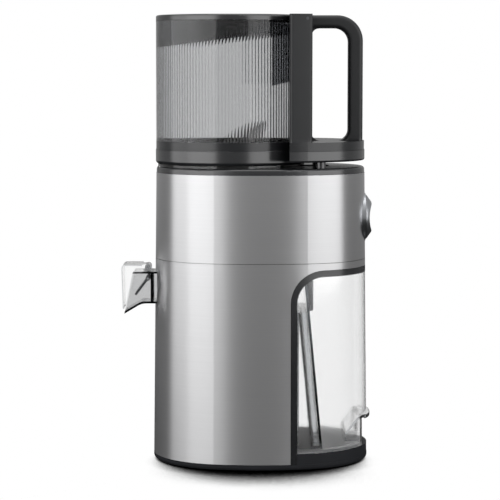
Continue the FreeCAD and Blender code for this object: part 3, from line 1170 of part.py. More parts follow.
def make_dial():
    """Dial at the back: a dished knob on a shaft, the bezel it sits on and the switch behind."""
    skin_x = BODY_HALF_LENGTH - body_inset(DIAL_Z)
    face_x = skin_x + BEZEL_PROUD
    along = V(1, 0, 0)
    bezel = Part.makeCylinder(BEZEL_RADIUS, BEZEL_DEPTH, V(face_x - BEZEL_DEPTH, 0, DIAL_Z), along)
    bezel_back = V(face_x - BEZEL_DEPTH - 1, 0, DIAL_Z)
    shaft_hole = Part.makeCylinder(DIAL_SHAFT_RADIUS + FIT, BEZEL_DEPTH + 2, bezel_back, along)
    keep("dial_bezel", bezel.cut(shaft_hole))
    foot = face_x + FIT
    crest = skin_x + DIAL_REACH
    profile = [
        V(foot, 0, DIAL_Z),
        V(foot, 0, DIAL_Z + DIAL_RADIUS),
        V(foot + 1.2, 0, DIAL_Z + DIAL_RADIUS - 0.8),
        V(crest - 0.6, 0, DIAL_Z + DIAL_CREST_RADIUS + 0.8),
        V(crest, 0, DIAL_Z + DIAL_CREST_RADIUS - 0.2),
        V(crest - 0.5, 0, DIAL_Z + DIAL_CREST_RADIUS - 1.0),
        V(crest - DIAL_DISH_DEPTH, 0, DIAL_Z + DIAL_DISH_RADIUS),
        V(crest - DIAL_DISH_DEPTH, 0, DIAL_Z),
        V(foot, 0, DIAL_Z),
    ]
    knob = Part.Face(Part.makePolygon(profile)).revolve(V(0, 0, DIAL_Z), along, 360)
    keep("dial_knob", knob)
    switch_face = face_x - BEZEL_DEPTH
    shaft_end = switch_face - SWITCH_DEPTH / 2
    keep("dial_shaft", Part.makeCylinder(DIAL_SHAFT_RADIUS, foot - shaft_end, V(shaft_end, 0, DIAL_Z), along))
    switch = Part.makeCylinder(SWITCH_RADIUS, SWITCH_DEPTH, V(switch_face - SWITCH_DEPTH, 0, DIAL_Z), along)
    bore_end = shaft_end - FIT
    bore = Part.makeCylinder(
        DIAL_SHAFT_RADIUS + RUNNING_CLEARANCE, switch_face - bore_end + 1, V(bore_end, 0, DIAL_Z), along
    )
    keep("rotary_switch", switch.cut(bore))


def make_bin():
    """Clear pulp bin: walls that follow the body, a sloping front, and a finger scoop at the back."""
    foot = PLATFORM_TOP + BIN_GAP
    top = BAY_TOP - LINER_WALL - BIN_GAP
    front = BAY_FRONT + LINER_WALL + BIN_GAP
    wide = BODY_HALF_WIDTH
    corner = BAY_CORNER - LINER_WALL - BIN_GAP
    window = side_prism(bay_outline(0.0, front, top, corner), -wide, wide)
    outside = drafted_block(foot, top, SEAT_GAP).common(window)
    inside = drafted_block(foot - 1, top + 1, SEAT_GAP + BIN_WALL)
    walls = outside.cut(inside)
    thick = drafted_block(foot, top, SEAT_GAP).cut(
        drafted_block(foot - 1, top + 1, SEAT_GAP + BIN_WALL + BIN_BEAD_WALL)
    )
    bead = thick.common(window).common(box(front, front + BIN_BEAD, -wide, wide, foot, top))
    slope = (BIN_SLOPE_FOOT_X - BIN_SLOPE_TOP_X) / (BIN_SLOPE_TOP_Z - foot)
    lean = math.hypot(1, slope) * BIN_WALL
    front_wall = side_prism(
        [
            (BIN_SLOPE_FOOT_X, foot, 0),
            (BIN_SLOPE_FOOT_X + lean, foot, 0),
            (BIN_SLOPE_TOP_X + lean, BIN_SLOPE_TOP_Z, 0),
            (BIN_SLOPE_TOP_X, BIN_SLOPE_TOP_Z, 0),
        ],
        -wide, wide,
    ).common(drafted_block(foot, top, SEAT_GAP + BIN_WALL / 2)).common(window)
    floor = drafted_block(foot, foot + BIN_WALL, SEAT_GAP + BIN_WALL / 2).common(
        box(BIN_SLOPE_FOOT_X, BODY_HALF_LENGTH, -wide, wide, foot, top)
    )
    half = SCOOP_HALF_WIDTH
    wall = BIN_WALL
    far = BODY_HALF_LENGTH + SCOOP_DEPTH
    scoop_shell = side_prism(
        [
            (SCOOP_INNER_X - wall, foot, 0),
            (far, foot, 0),
            (far, SCOOP_ROOF_Z + wall, 0),
            (SCOOP_ROOF_X - wall * 0.6, SCOOP_ROOF_Z + wall, SCOOP_ROOF_ROUND),
            (SCOOP_INNER_X - wall, foot + SCOOP_STEP, SCOOP_FOOT_ROUND),
        ],
        -half - wall, half + wall,
    ).common(drafted_block(foot, top, SEAT_GAP))
    scoop_void = side_prism(
        [
            (SCOOP_INNER_X, foot - 5, 0),
            (far, foot - 5, 0),
            (far, SCOOP_ROOF_Z, 0),
            (SCOOP_ROOF_X, SCOOP_ROOF_Z, SCOOP_ROOF_ROUND),
            (SCOOP_INNER_X, foot + SCOOP_STEP, SCOOP_FOOT_ROUND),
        ],
        -half, half,
    )
    skin_x = BODY_HALF_LENGTH - body_inset(SCOOP_ROOF_Z)
    lip = side_prism(
        [
            (skin_x - LIP_ROOT, SCOOP_ROOF_Z, 0),
            (skin_x + LIP_REACH, SCOOP_ROOF_Z, LIP_ROUND),
            (skin_x + LIP_REACH, SCOOP_ROOF_Z + LIP_HEIGHT, LIP_ROUND),
            (skin_x - LIP_ROOT, SCOOP_ROOF_Z + LIP_HEIGHT, 0),
        ],
        -half, half,
    )
    nose = NOSE_RADIUS - body_inset(SCOOP_ROOF_Z)
    lip = lip.common(disc(nose + LIP_REACH, foot, top, NOSE_CENTRE))
    lip = lip.cut(disc(nose - 1, foot, top, NOSE_CENTRE))
    keep("pulp_bin", fuse(walls, bead, front_wall, floor, scoop_shell, lip).cut(scoop_void))

    tab = side_prism(
        [
            (BIN_SLOPE_TOP_X + slope * (BIN_SLOPE_TOP_Z - TAB_FOOT_Z) + lean, TAB_FOOT_Z, 0),
            (BIN_SLOPE_TOP_X + lean + TAB_DEPTH, TAB_FOOT_Z, TAB_EDGE_ROUND),
            (BIN_SLOPE_TOP_X + lean + TAB_DEPTH, TAB_TOP_Z, TAB_EDGE_ROUND),
            (BIN_SLOPE_TOP_X + slope * (BIN_SLOPE_TOP_Z - TAB_TOP_Z) + lean, TAB_TOP_Z, 0),
        ],
        -TAB_HALF_WIDTH, TAB_HALF_WIDTH,
    )
    keep("bin_tab", tab)


def make_grommet():
    """Rubber grommet for the supply cord, in the far side of the lower shell near its foot."""
    offset = (NOSE_CENTRE**2 - SIDE_BOW**2) / (2 * SIDE_BOW)
    side_radius = BODY_HALF_WIDTH + offset - body_inset(GROMMET_Z)
    skin_y = math.sqrt(side_radius**2 - GROMMET_X**2) - offset
    flange_y = skin_y + GROMMET_GAP
    neck = across(GROMMET_X, GROMMET_Z, GROMMET_RADIUS, skin_y - GROMMET_DEPTH, flange_y + GROMMET_FLANGE / 2)
    flange = across(GROMMET_X, GROMMET_Z, GROMMET_FLANGE_RADIUS, flange_y, flange_y + GROMMET_FLANGE)
    hole = across(GROMMET_X, GROMMET_Z, CORD_HOLE_RADIUS, 0, flange_y + 2 * GROMMET_FLANGE)
    keep("cord_grommet", fuse(neck, flange).cut(hole))


def main():
    os.makedirs("parts", exist_ok=True)
    make_base_pan()
    make_shells()
    make_bay_liner()
    make_top_deck()
    make_drum()
    make_strainer_cage()
    make_auger()
    make_cutting_wing()
    make_gears()
    make_motor()
    make_hopper()
    make_lid()
    make_spout()
    make_dial()
    make_bin()
    make_grommet()
    front_x = min(shape.BoundBox.XMin for shape in PARTS.values())
    back_x = max(shape.BoundBox.XMax for shape in PARTS.values())
    middle = V(-(front_x + back_x) / 2, 0, 0)
    for name, shape in PARTS.items():
        shape.translate(middle)
        shape.exportStep(f"parts/{name}.step")
        print(f"{name}: {len(shape.Solids)} solids, valid {shape.isValid()}, volume {shape.Volume:.0f}")
    print(f"shift {middle.x:.3f}")


main()
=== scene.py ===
import math

import bmesh
import bpy
from mathutils import Matrix, Vector


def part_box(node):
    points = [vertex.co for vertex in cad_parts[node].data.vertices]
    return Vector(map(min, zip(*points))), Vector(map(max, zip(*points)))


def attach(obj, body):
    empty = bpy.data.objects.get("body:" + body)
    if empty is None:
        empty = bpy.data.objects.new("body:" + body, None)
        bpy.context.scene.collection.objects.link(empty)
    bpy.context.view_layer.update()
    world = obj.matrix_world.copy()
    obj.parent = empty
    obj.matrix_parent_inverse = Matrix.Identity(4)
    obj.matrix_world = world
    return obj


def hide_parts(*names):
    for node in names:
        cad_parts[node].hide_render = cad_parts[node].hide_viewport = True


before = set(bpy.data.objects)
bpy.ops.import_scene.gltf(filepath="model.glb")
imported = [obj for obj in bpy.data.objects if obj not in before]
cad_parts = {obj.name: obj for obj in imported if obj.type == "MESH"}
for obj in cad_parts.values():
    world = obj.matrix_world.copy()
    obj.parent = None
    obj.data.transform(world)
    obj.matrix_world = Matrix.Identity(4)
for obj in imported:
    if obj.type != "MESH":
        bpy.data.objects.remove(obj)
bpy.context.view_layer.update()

# Base pan, feet and motor mounts
# The pan is one moulding in black satin ABS with the platform that the bin stands on. The feet are natural
# rubber pressed into its underside, and softer rubber blocks carry the motor so that the body doesn't hum.


def srgb(code):
    """A hex colour as the linear values that the shaders work in."""
    parts = [int(code[i:i + 2], 16) / 255 for i in (1, 3, 5)]
    return tuple(p / 12.92 if p <= 0.04045 else ((p + 0.055) / 1.055) ** 2.4 for p in parts) + (1.0,)


def add(tree, kind, values=None, **settings):
    """Adds a node with its settings, and fills or links each named input."""
    made = tree.nodes.new(kind)
    for name, value in settings.items():
        setattr(made, name, value)
    for name, value in (values or {}).items():
        if isinstance(value, bpy.types.NodeSocket):
            tree.links.new(value, made.inputs[name])
        else:
            made.inputs[name].default_value = value
    return made


def blank_material(name):
    """A new material with nothing in its tree yet."""
    made = bpy.data.materials.new(name)
    made.use_nodes = True
    made.node_tree.nodes.clear()
    return made


def dress(material, *nodes):
    """Gives CAD nodes their finish."""
    for name in nodes:
        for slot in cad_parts[name].material_slots:
            slot.material = material


# Moulded ABS with a fine spark-eroded grain: near black, a soft broad highlight, no mirror image.
satin_abs = blank_material("moulded_abs_satin_black")
t = satin_abs.node_tree
place = add(t, "ShaderNodeTexCoord")
grain = add(t, "ShaderNodeTexNoise", {
    "Vector": place.outputs["Object"], "Scale": 1000 / 0.8, "Detail": 3.0})
drift = add(t, "ShaderNodeTexNoise", {
    "Vector": place.outputs["Object"], "Scale": 1000 / 40, "Detail": 2.0})
tone = add(t, "ShaderNodeMix", {
    "Factor": drift.outputs["Fac"], "A": srgb("#17181A"), "B": srgb("#212225")}, data_type="RGBA")
sheen = add(t, "ShaderNodeMapRange", {"Value": grain.outputs["Fac"], "To Min": 0.45, "To Max": 0.55})
relief = add(t, "ShaderNodeBump", {"Height": grain.outputs["Fac"], "Strength": 0.12, "Distance": 0.0001})
skin = add(t, "ShaderNodeBsdfPrincipled", {
    "Base Color": tone.outputs["Result"], "Roughness": sheen.outputs["Result"],
    "Normal": relief.outputs["Normal"], "IOR": 1.53, "Specular IOR Level": 0.12})
add(t, "ShaderNodeOutputMaterial", {"Surface": skin.outputs["BSDF"]})
dress(satin_abs, "base_pan", "seam_band", "interlock_sensor", "rotary_switch")


def mottled(name, blotch_mm, detail, tones, dullness, body):
    """A material whose tone and dullness drift together, in blotches of a size in millimetres."""
    made = blank_material(name)
    t = made.node_tree
    place = add(t, "ShaderNodeTexCoord")
    drift = add(t, "ShaderNodeTexNoise", {
        "Vector": place.outputs["Object"], "Scale": 1000 / blotch_mm, "Detail": detail})
    tone = add(t, "ShaderNodeMix", {
        "Factor": drift.outputs["Fac"], "A": srgb(tones[0]), "B": srgb(tones[1])}, data_type="RGBA")
    dull = add(t, "ShaderNodeMapRange", {
        "Value": drift.outputs["Fac"], "To Min": dullness[0], "To Max": dullness[1]})
    skin = add(t, "ShaderNodeBsdfPrincipled", {
        "Base Color": tone.outputs["Result"], "Roughness": dull.outputs["Result"], **body})
    add(t, "ShaderNodeOutputMaterial", {"Surface": skin.outputs["BSDF"]})
    return made


# Natural rubber: black, matt and very slightly cloudy.
rubber = mottled("moulded_natural_rubber", 6, 4.0, ("#141415", "#202022"), (0.7, 0.85), {"IOR": 1.52})
dress(rubber, "rubber_feet", "motor_mounts", "cord_grommet")

# Screws under the base pan
# Steel screws hold the pan to the body from below, one beside each foot. Each head is a low rounded crown
# that stands just proud of the pan's underside and clear of the floor.
SCREW_HEAD_RADIUS = 0.0032
SCREW_HEAD_HEIGHT = 0.0012
SCREW_SUNK = 0.0008
# The screws are spread over this share of the feet's length and width.
SCREW_SPREAD = 0.72
pan_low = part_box("base_pan")[0]
feet_low, feet_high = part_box("rubber_feet")

# Zinc-plated steel: a cool grey metal, faintly clouded by the plating bath.
zinc_steel = mottled("zinc_plated_steel", 1.5, 2.0, ("#B4B7BA", "#CBCED1"), (0.25, 0.38), {"Metallic": 1.0})
dress(zinc_steel, "cover_screws", "interlock_magnet", "cap_pin", "flap_pin", "dial_shaft")


def baked(name, tree, inputs):
    """Runs a geometry tree with its inputs set, and keeps the result as a plain mesh object."""
    holder = bpy.data.objects.new(name + "_holder", bpy.data.meshes.new(name + "_holder"))
    bpy.context.scene.collection.objects.link(holder)
    modifier = holder.modifiers.new("tree", "NODES")
    modifier.node_group = tree
    for item in tree.interface.items_tree:
        if item.item_type == "SOCKET" and item.in_out == "INPUT" and item.name in inputs:
            modifier[item.identifier] = inputs[item.name]
    bpy.context.view_layer.update()
    seen = holder.evaluated_get(bpy.context.evaluated_depsgraph_get())
    mesh = bpy.data.meshes.new_from_object(seen)
    holder.modifiers.remove(modifier)
    bpy.data.objects.remove(holder)
    mesh.name = name
    piece = bpy.data.objects.new(name, mesh)
    bpy.context.scene.collection.objects.link(piece)
    return piece


screws = bpy.data.node_groups.new("pan_screw_row", "GeometryNodeTree")
for label, kind in (("Head radius", "NodeSocketFloat"), ("Head height", "NodeSocketFloat"),
                    ("Spread X", "NodeSocketFloat"), ("Spread Y", "NodeSocketFloat"),
                    ("Middle", "NodeSocketVector"), ("Steel", "NodeSocketMaterial")):
    screws.interface.new_socket(label, in_out="INPUT", socket_type=kind)
screws.interface.new_socket("Geometry", in_out="OUTPUT", socket_type="NodeSocketGeometry")
t = screws
given = add(t, "NodeGroupInput")
crown = add(t, "GeometryNodeMeshUVSphere", {
    "Segments": 24, "Rings": 8, "Radius": given.outputs["Head radius"]})
flat = add(t, "ShaderNodeMath", {
    0: given.outputs["Head height"], 1: given.outputs["Head radius"]}, operation="DIVIDE")
squash = add(t, "ShaderNodeCombineXYZ", {"X": 1.0, "Y": 1.0, "Z": flat.outputs[0]})
head = add(t, "GeometryNodeTransform", {"Geometry": crown.outputs["Mesh"], "Scale": squash.outputs[0]})
grid = add(t, "GeometryNodeMeshGrid", {
    "Size X": given.outputs["Spread X"], "Size Y": given.outputs["Spread Y"],
    "Vertices X": 2, "Vertices Y": 2})
spots = add(t, "GeometryNodeTransform", {
    "Geometry": grid.outputs["Mesh"], "Translation": given.outputs["Middle"]})
copies = add(t, "GeometryNodeInstanceOnPoints", {"Points": spots.outputs[0], "Instance": head.outputs[0]})
real = add(t, "GeometryNodeRealizeInstances", {"Geometry": copies.outputs[0]})
smooth = add(t, "GeometryNodeSetShadeSmooth", {"Geometry": real.outputs[0]})
steel = add(t, "GeometryNodeSetMaterial", {
    "Geometry": smooth.outputs[0], "Material": given.outputs["Steel"]})
add(t, "NodeGroupOutput", {"Geometry": steel.outputs[0]})
pan_screws = baked("pan_screws", screws, {
    "Head radius": SCREW_HEAD_RADIUS, "Head height": SCREW_HEAD_HEIGHT,
    "Spread X": (feet_high.x - feet_low.x) * SCREW_SPREAD,
    "Spread Y": (feet_high.y - feet_low.y) * SCREW_SPREAD,
    "Middle": ((feet_low.x + feet_high.x) / 2, 0.0, pan_low.z + SCREW_SUNK), "Steel": zinc_steel})
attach(pan_screws, "base")

# Metal shells
# Two wraps of satin stainless sheet, one above the other, with a fine shut line between them. The sheet is
# brushed along its length before it is rolled, so it throws two tall soft streaks of light and no sharp
# image.
BRUSH_LENGTH = 90
BRUSH_PITCH = 0.9
brushed = blank_material("brushed_stainless_sheet")
t = brushed.node_tree
place = add(t, "ShaderNodeTexCoord")
# The real brush lines are finer than a pixel, so they are drawn about a millimetre apart and very faint.
along = add(t, "ShaderNodeMapping", {
    "Vector": place.outputs["Object"],
    "Scale": (1000 / BRUSH_LENGTH, 1000 / BRUSH_LENGTH, 1000 / BRUSH_PITCH)})
lines = add(t, "ShaderNodeTexNoise", {
    "Vector": along.outputs[0], "Scale": 1.0, "Detail": 4.0, "Roughness": 0.6})
tone = add(t, "ShaderNodeMix", {
    "Factor": lines.outputs["Fac"], "A": srgb("#C4C4C5"), "B": srgb("#CECECF")}, data_type="RGBA")
dull = add(t, "ShaderNodeMapRange", {"Value": lines.outputs["Fac"], "To Min": 0.36, "To Max": 0.44})
upright = add(t, "ShaderNodeCombineXYZ", {"Z": 1.0})
skin = add(t, "ShaderNodeBsdfPrincipled", {
    "Base Color": tone.outputs["Result"], "Roughness": dull.outputs["Result"], "Metallic": 1.0,
    "Anisotropic": 0.88, "Tangent": upright.outputs[0]})
add(t, "ShaderNodeOutputMaterial", {"Surface": skin.outputs["BSDF"]})
dress(brushed, "lower_shell", "upper_shell")

# Black gloss mouldings
# Bay liner, top deck, hopper ring, hopper frame with its loop handle, and the lid: black ABS from a
# polished tool. They hold the shells' edges and carry the tank.
BAND_TOP = 0.328
SATIN_EDGE = 0.004


def black_abs(name, mirror_level, satin_above=None):
    """Black ABS with a moulding's faint flow marks, polished all over or satin above a height."""
    made = blank_material(name)
    t = made.node_tree
    place = add(t, "ShaderNodeTexCoord")
    flow = add(t, "ShaderNodeTexNoise", {
        "Vector": place.outputs["Object"], "Scale": 1000 / 25, "Detail": 3.0})
    tone = add(t, "ShaderNodeMix", {
        "Factor": flow.outputs["Fac"], "A": srgb("#111214"), "B": srgb("#18191B")}, data_type="RGBA")
    if satin_above is None:
        dull = add(t, "ShaderNodeMapRange", {"Value": flow.outputs["Fac"], "To Min": 0.2, "To Max": 0.26})
    else:
        spot = add(t, "ShaderNodeSeparateXYZ", {0: place.outputs["Object"]})
        dull = add(t, "ShaderNodeMapRange", {
            "Value": spot.outputs["Z"], "From Min": satin_above, "From Max": satin_above + SATIN_EDGE,
            "To Min": 0.24, "To Max": 0.52})
    ripple = add(t, "ShaderNodeBump", {"Height": flow.outputs["Fac"], "Strength": 0.05, "Distance": 0.0004})
    skin = add(t, "ShaderNodeBsdfPrincipled", {
        "Base Color": tone.outputs["Result"], "Roughness": dull.outputs["Result"],
        "Normal": ripple.outputs["Normal"], "IOR": 1.53, "Specular IOR Level": mirror_level})
    add(t, "ShaderNodeOutputMaterial", {"Surface": skin.outputs["BSDF"]})
    return made


# Polished ABS: a deep black, with a clear mirror image that is a little soft.
gloss_abs = black_abs("moulded_abs_gloss_black", 0.75)
dress(gloss_abs, "bay_liner", "top_deck", "hopper_base", "lid")

# The frame's band is polished, and above it the columns and the grip have a finer satin face.
frame_abs = black_abs("moulded_abs_satin_grip_black", 0.42, satin_above=BAND_TOP)
dress(frame_abs, "hopper_frame")

# The handle's opening is rounded where it meets the column: a small fillet fills each of its front corners.
HANDLE_HOLE_FRONT = 0.0652
HANDLE_HOLE_TOP = 0.442
HANDLE_HOLE_FOOT = 0.328
FILLET_RADIUS = 0.009
FILLET_HALF_WIDTH = 0.0115
FILLET_STEPS = 8
FILLET_ROOT = 0.002


def add_prism(shape, outline, half_width):
    """Adds to a shape the solid that an outline in X and Z sweeps, equally far to both sides."""
    face = shape.faces.new([shape.verts.new((x, -half_width, z)) for x, z in outline])
    pushed = bmesh.ops.extrude_face_region(shape, geom=[face])
    bmesh.ops.translate(shape, vec=(0, 2 * half_width, 0),
                        verts=[v for v in pushed["geom"] if isinstance(v, bmesh.types.BMVert)])


def made_from(shape, name, *materials):
    """Makes the drawn shape an object of its own, in its materials."""
    piece = bpy.data.objects.new(name, bpy.data.meshes.new(name))
    shape.to_mesh(piece.data)
    shape.free()
    for material in materials:
        piece.data.materials.append(material)
    bpy.context.scene.collection.objects.link(piece)
    return piece


fillet_back = HANDLE_HOLE_FRONT - FILLET_ROOT
quarter = [math.pi / 2 * step / FILLET_STEPS for step in range(FILLET_STEPS + 1)]
shape = bmesh.new()
for edge_z, inward in ((HANDLE_HOLE_TOP, -1), (HANDLE_HOLE_FOOT, 1)):
    root_z = edge_z - inward * FILLET_ROOT
    outline = [(fillet_back, root_z), (HANDLE_HOLE_FRONT + FILLET_RADIUS, root_z)]
    outline += [(HANDLE_HOLE_FRONT + FILLET_RADIUS * (1 - math.sin(a)),
                 edge_z + inward * FILLET_RADIUS * (1 - math.cos(a))) for a in quarter]
    outline += [(fillet_back, edge_z + inward * FILLET_RADIUS)]
    add_prism(shape, outline, FILLET_HALF_WIDTH)
bmesh.ops.recalc_face_normals(shape, faces=shape.faces)
handle_fillets = made_from(shape, "handle_fillets", frame_abs)
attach(handle_fillets, "hopper")

# Ribbed tank
# The hopper's clear wall: smoky copolyester, smooth outside with upright flutes all round the inside, welded
# to the band of the frame. The flutes bend the light, so the far side shows as fine upright lines.
TANK_WALL = 0.0026
FLUTES = 138
FLUTE_DEPTH = 0.00064
FLUTE_STEPS = 8
MERGE_DISTANCE = 0.00001
tank_low, tank_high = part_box("hopper_tank")
tank_radius = (tank_high.y - tank_low.y) / 2
tank_middle = Vector(((tank_low.x + tank_high.x) / 2, 0.0, 0.0))


def copolyester(name, swirl_mm, dullness, index, dye, density, matt_floor=None):
    """Clear copolyester, greyer the longer the way through it, and matt under a height if that is given."""
    made = blank_material(name)
    t = made.node_tree
    place = add(t, "ShaderNodeTexCoord")
    swirl = add(t, "ShaderNodeTexNoise", {
        "Vector": place.outputs["Object"], "Scale": 1000 / swirl_mm, "Detail": 2.0})
    dull = add(t, "ShaderNodeMapRange", {
        "Value": swirl.outputs["Fac"], "To Min": dullness[0], "To Max": dullness[1]})
    finish = dull.outputs["Result"]
    if matt_floor is not None:
        spot = add(t, "ShaderNodeSeparateXYZ", {0: place.outputs["Object"]})
        matt = add(t, "ShaderNodeMapRange", {
            "Value": spot.outputs["Z"], "From Min": matt_floor[0], "From Max": matt_floor[1],
            "To Min": 0.6, "To Max": 0.0})
        duller = add(t, "ShaderNodeMath", {0: finish, 1: matt.outputs["Result"]}, operation="MAXIMUM")
        finish = duller.outputs[0]
    skin = add(t, "ShaderNodeBsdfPrincipled", {
        "Base Color": srgb("#FFFFFF"), "Roughness": finish, "Transmission Weight": 1.0, "IOR": index})
    depth = add(t, "ShaderNodeVolumeAbsorption", {"Color": srgb(dye), "Density": density})
    add(t, "ShaderNodeOutputMaterial", {
        "Surface": skin.outputs["BSDF"], "Volume": depth.outputs["Volume"]})
    return made


# Smoky copolyester: as clear as glass on its face. Its index is set below that of the real plastic, because
# the tank mirrors the lamps only weakly.
smoky_clear = copolyester("smoky_clear_copolyester", 15, (0.03, 0.06), 1.33, "#8A8C8F", 285.0)

fluted = bpy.data.node_groups.new("fluted_tank_wall", "GeometryNodeTree")
for label, kind in (("Flutes", "NodeSocketInt"), ("Steps", "NodeSocketInt"),
                    ("Radius", "NodeSocketFloat"), ("Wall", "NodeSocketFloat"),
                    ("Flute depth", "NodeSocketFloat"), ("Foot", "NodeSocketFloat"),
                    ("Top", "NodeSocketFloat"), ("Middle", "NodeSocketVector"),
                    ("Plastic", "NodeSocketMaterial")):
    fluted.interface.new_socket(label, in_out="INPUT", socket_type=kind)
fluted.interface.new_socket("Geometry", in_out="OUTPUT", socket_type="NodeSocketGeometry")
t = fluted
given = add(t, "NodeGroupInput")
count = add(t, "ShaderNodeMath", {
    0: given.outputs["Flutes"], 1: given.outputs["Steps"]}, operation="MULTIPLY")
around = add(t, "ShaderNodeMath", {0: count.outputs[0], 1: 1.0}, operation="ADD")
# A strip of five rows, bent round: outer foot, outer top, inner top, inner foot and the outer foot again.
# The two inner rows, and the two top ones, are picked out by the middle between them and a reach.
INNER_ROWS = 0.625
TOP_ROWS = 0.375
ROW_REACH = 0.2
strip = add(t, "GeometryNodeMeshGrid", {
    "Size X": 1.0, "Size Y": 1.0, "Vertices X": around.outputs[0], "Vertices Y": 5})
split = add(t, "ShaderNodeSeparateXYZ", {0: strip.outputs["UV Map"]})
turn = add(t, "ShaderNodeMath", {0: split.outputs["X"], 1: math.tau}, operation="MULTIPLY")
phase = add(t, "ShaderNodeMath", {0: split.outputs["X"], 1: given.outputs["Flutes"]}, operation="MULTIPLY")
half = add(t, "ShaderNodeMath", {0: phase.outputs[0], 1: math.pi}, operation="MULTIPLY")
wave = add(t, "ShaderNodeMath", {0: half.outputs[0]}, operation="SINE")
arch = add(t, "ShaderNodeMath", {0: wave.outputs[0]}, operation="ABSOLUTE")
groove = add(t, "ShaderNodeMath", {
    0: arch.outputs[0], 1: given.outputs["Flute depth"]}, operation="MULTIPLY")
bore = add(t, "ShaderNodeMath", {
    0: given.outputs["Radius"], 1: given.outputs["Wall"]}, operation="SUBTRACT")
inside = add(t, "ShaderNodeMath", {0: bore.outputs[0], 1: groove.outputs[0]}, operation="ADD")
is_inner = add(t, "ShaderNodeMath", {
    0: split.outputs["Y"], 1: INNER_ROWS, 2: ROW_REACH}, operation="COMPARE")
is_top = add(t, "ShaderNodeMath", {
    0: split.outputs["Y"], 1: TOP_ROWS, 2: ROW_REACH}, operation="COMPARE")
reach = add(t, "ShaderNodeMix", {
    "Factor": is_inner.outputs[0], "A": given.outputs["Radius"], "B": inside.outputs[0]}, data_type="FLOAT")
height = add(t, "ShaderNodeMix", {
    "Factor": is_top.outputs[0], "A": given.outputs["Foot"], "B": given.outputs["Top"]}, data_type="FLOAT")
cosine = add(t, "ShaderNodeMath", {0: turn.outputs[0]}, operation="COSINE")
sine = add(t, "ShaderNodeMath", {0: turn.outputs[0]}, operation="SINE")
east = add(t, "ShaderNodeMath", {0: reach.outputs["Result"], 1: cosine.outputs[0]}, operation="MULTIPLY")
north = add(t, "ShaderNodeMath", {0: reach.outputs["Result"], 1: sine.outputs[0]}, operation="MULTIPLY")
spot = add(t, "ShaderNodeCombineXYZ", {
    "X": east.outputs[0], "Y": north.outputs[0], "Z": height.outputs["Result"]})
shifted = add(t, "ShaderNodeVectorMath", {0: spot.outputs[0], 1: given.outputs["Middle"]}, operation="ADD")
bent = add(t, "GeometryNodeSetPosition", {
    "Geometry": strip.outputs["Mesh"], "Position": shifted.outputs[0]})
closed = add(t, "GeometryNodeMergeByDistance", {"Geometry": bent.outputs[0], "Distance": MERGE_DISTANCE})
real = add(t, "GeometryNodeRealizeInstances", {"Geometry": closed.outputs[0]})
plastic = add(t, "GeometryNodeSetMaterial", {
    "Geometry": real.outputs[0], "Material": given.outputs["Plastic"]})
add(t, "NodeGroupOutput", {"Geometry": plastic.outputs[0]})
tank = baked("ribbed_tank", fluted, {
    "Flutes": FLUTES, "Steps": FLUTE_STEPS, "Radius": tank_radius, "Wall": TANK_WALL,
    "Flute depth": FLUTE_DEPTH, "Foot": tank_low.z, "Top": tank_high.z, "Middle": tank_middle,
    "Plastic": smoky_clear})


def tidy_mesh(piece, sharp_degrees):
    """Turns every face outwards, shades it smooth and keeps edges sharper than the given angle crisp."""
    shape = bmesh.new()
    shape.from_mesh(piece.data)
    bmesh.ops.recalc_face_normals(shape, faces=shape.faces)
    for face in shape.faces:
        face.smooth = True
    shape.to_mesh(piece.data)
    shape.free()
    piece.data.set_sharp_from_angle(angle=math.radians(sharp_degrees))


tidy_mesh(tank, 30)
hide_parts("hopper_tank")
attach(tank, "hopper")

# Dark smoky mouldings
# The guard that hangs from the lid, the juicing drum and its strainer cage: the same copolyester with far
# more dye, moulded with a polished face.
# Dark copolyester: black to the eye, and grey only where the wall is thin.
smoky_dark = copolyester("smoky_dark_copolyester", 15, (0.06, 0.12), 1.5, "#3A3C3F", 3200.0)
dress(smoky_dark, "drum", "strainer_cage")

# The guard is dyed nearly black where it hides the mouth, and runs out to a light grey at its tongue by the
# column. Its index is set low like the tank's, which it hangs in.
TONGUE_FADE = (0.004, 0.014)
smoky_guard = blank_material("smoky_graded_copolyester")
t = smoky_guard.node_tree
place = add(t, "ShaderNodeTexCoord")
spot = add(t, "ShaderNodeSeparateXYZ", {0: place.outputs["Object"]})
share = add(t, "ShaderNodeMapRange", {
    "Value": spot.outputs["X"], "From Min": TONGUE_FADE[0], "From Max": TONGUE_FADE[1]})
tone = add(t, "ShaderNodeMix", {
    "Factor": share.outputs["Result"], "A": srgb("#2C2D2F"), "B": srgb("#B4B6B9")}, data_type="RGBA")
skin = add(t, "ShaderNodeBsdfPrincipled", {
    "Base Color": tone.outputs["Result"], "Roughness": 0.1, "Transmission Weight": 1.0, "IOR": 1.3})
depth = add(t, "ShaderNodeVolumeAbsorption", {"Color": srgb("#77797C"), "Density": 300.0})
add(t, "ShaderNodeOutputMaterial", {"Surface": skin.outputs["BSDF"], "Volume": depth.outputs["Volume"]})
dress(smoky_guard, "lid_guard")

# Clear mouldings
# Pulp bin and the cap over the spout: water-clear copolyester, and the juice spout with a little dye in it.
# The faces vanish against the light and the edges go dark grey, because there the way through the wall is
# long. The bin's floor is matt, where pulp would scratch a polished one.
BIN_FLOOR_FADE = (0.0205, 0.0225)
clear_plastic = copolyester(
    "clear_copolyester", 20, (0.06, 0.1), 1.5, "#B9BDC0", 16.0, matt_floor=BIN_FLOOR_FADE)
dress(clear_plastic, "pulp_bin", "spout_cap")

# Light smoke: the spout's walls read as soft grey.
light_smoke = copolyester("light_smoke_copolyester", 20, (0.03, 0.08), 1.5, "#77797C", 190.0)
dress(light_smoke, "juice_spout")

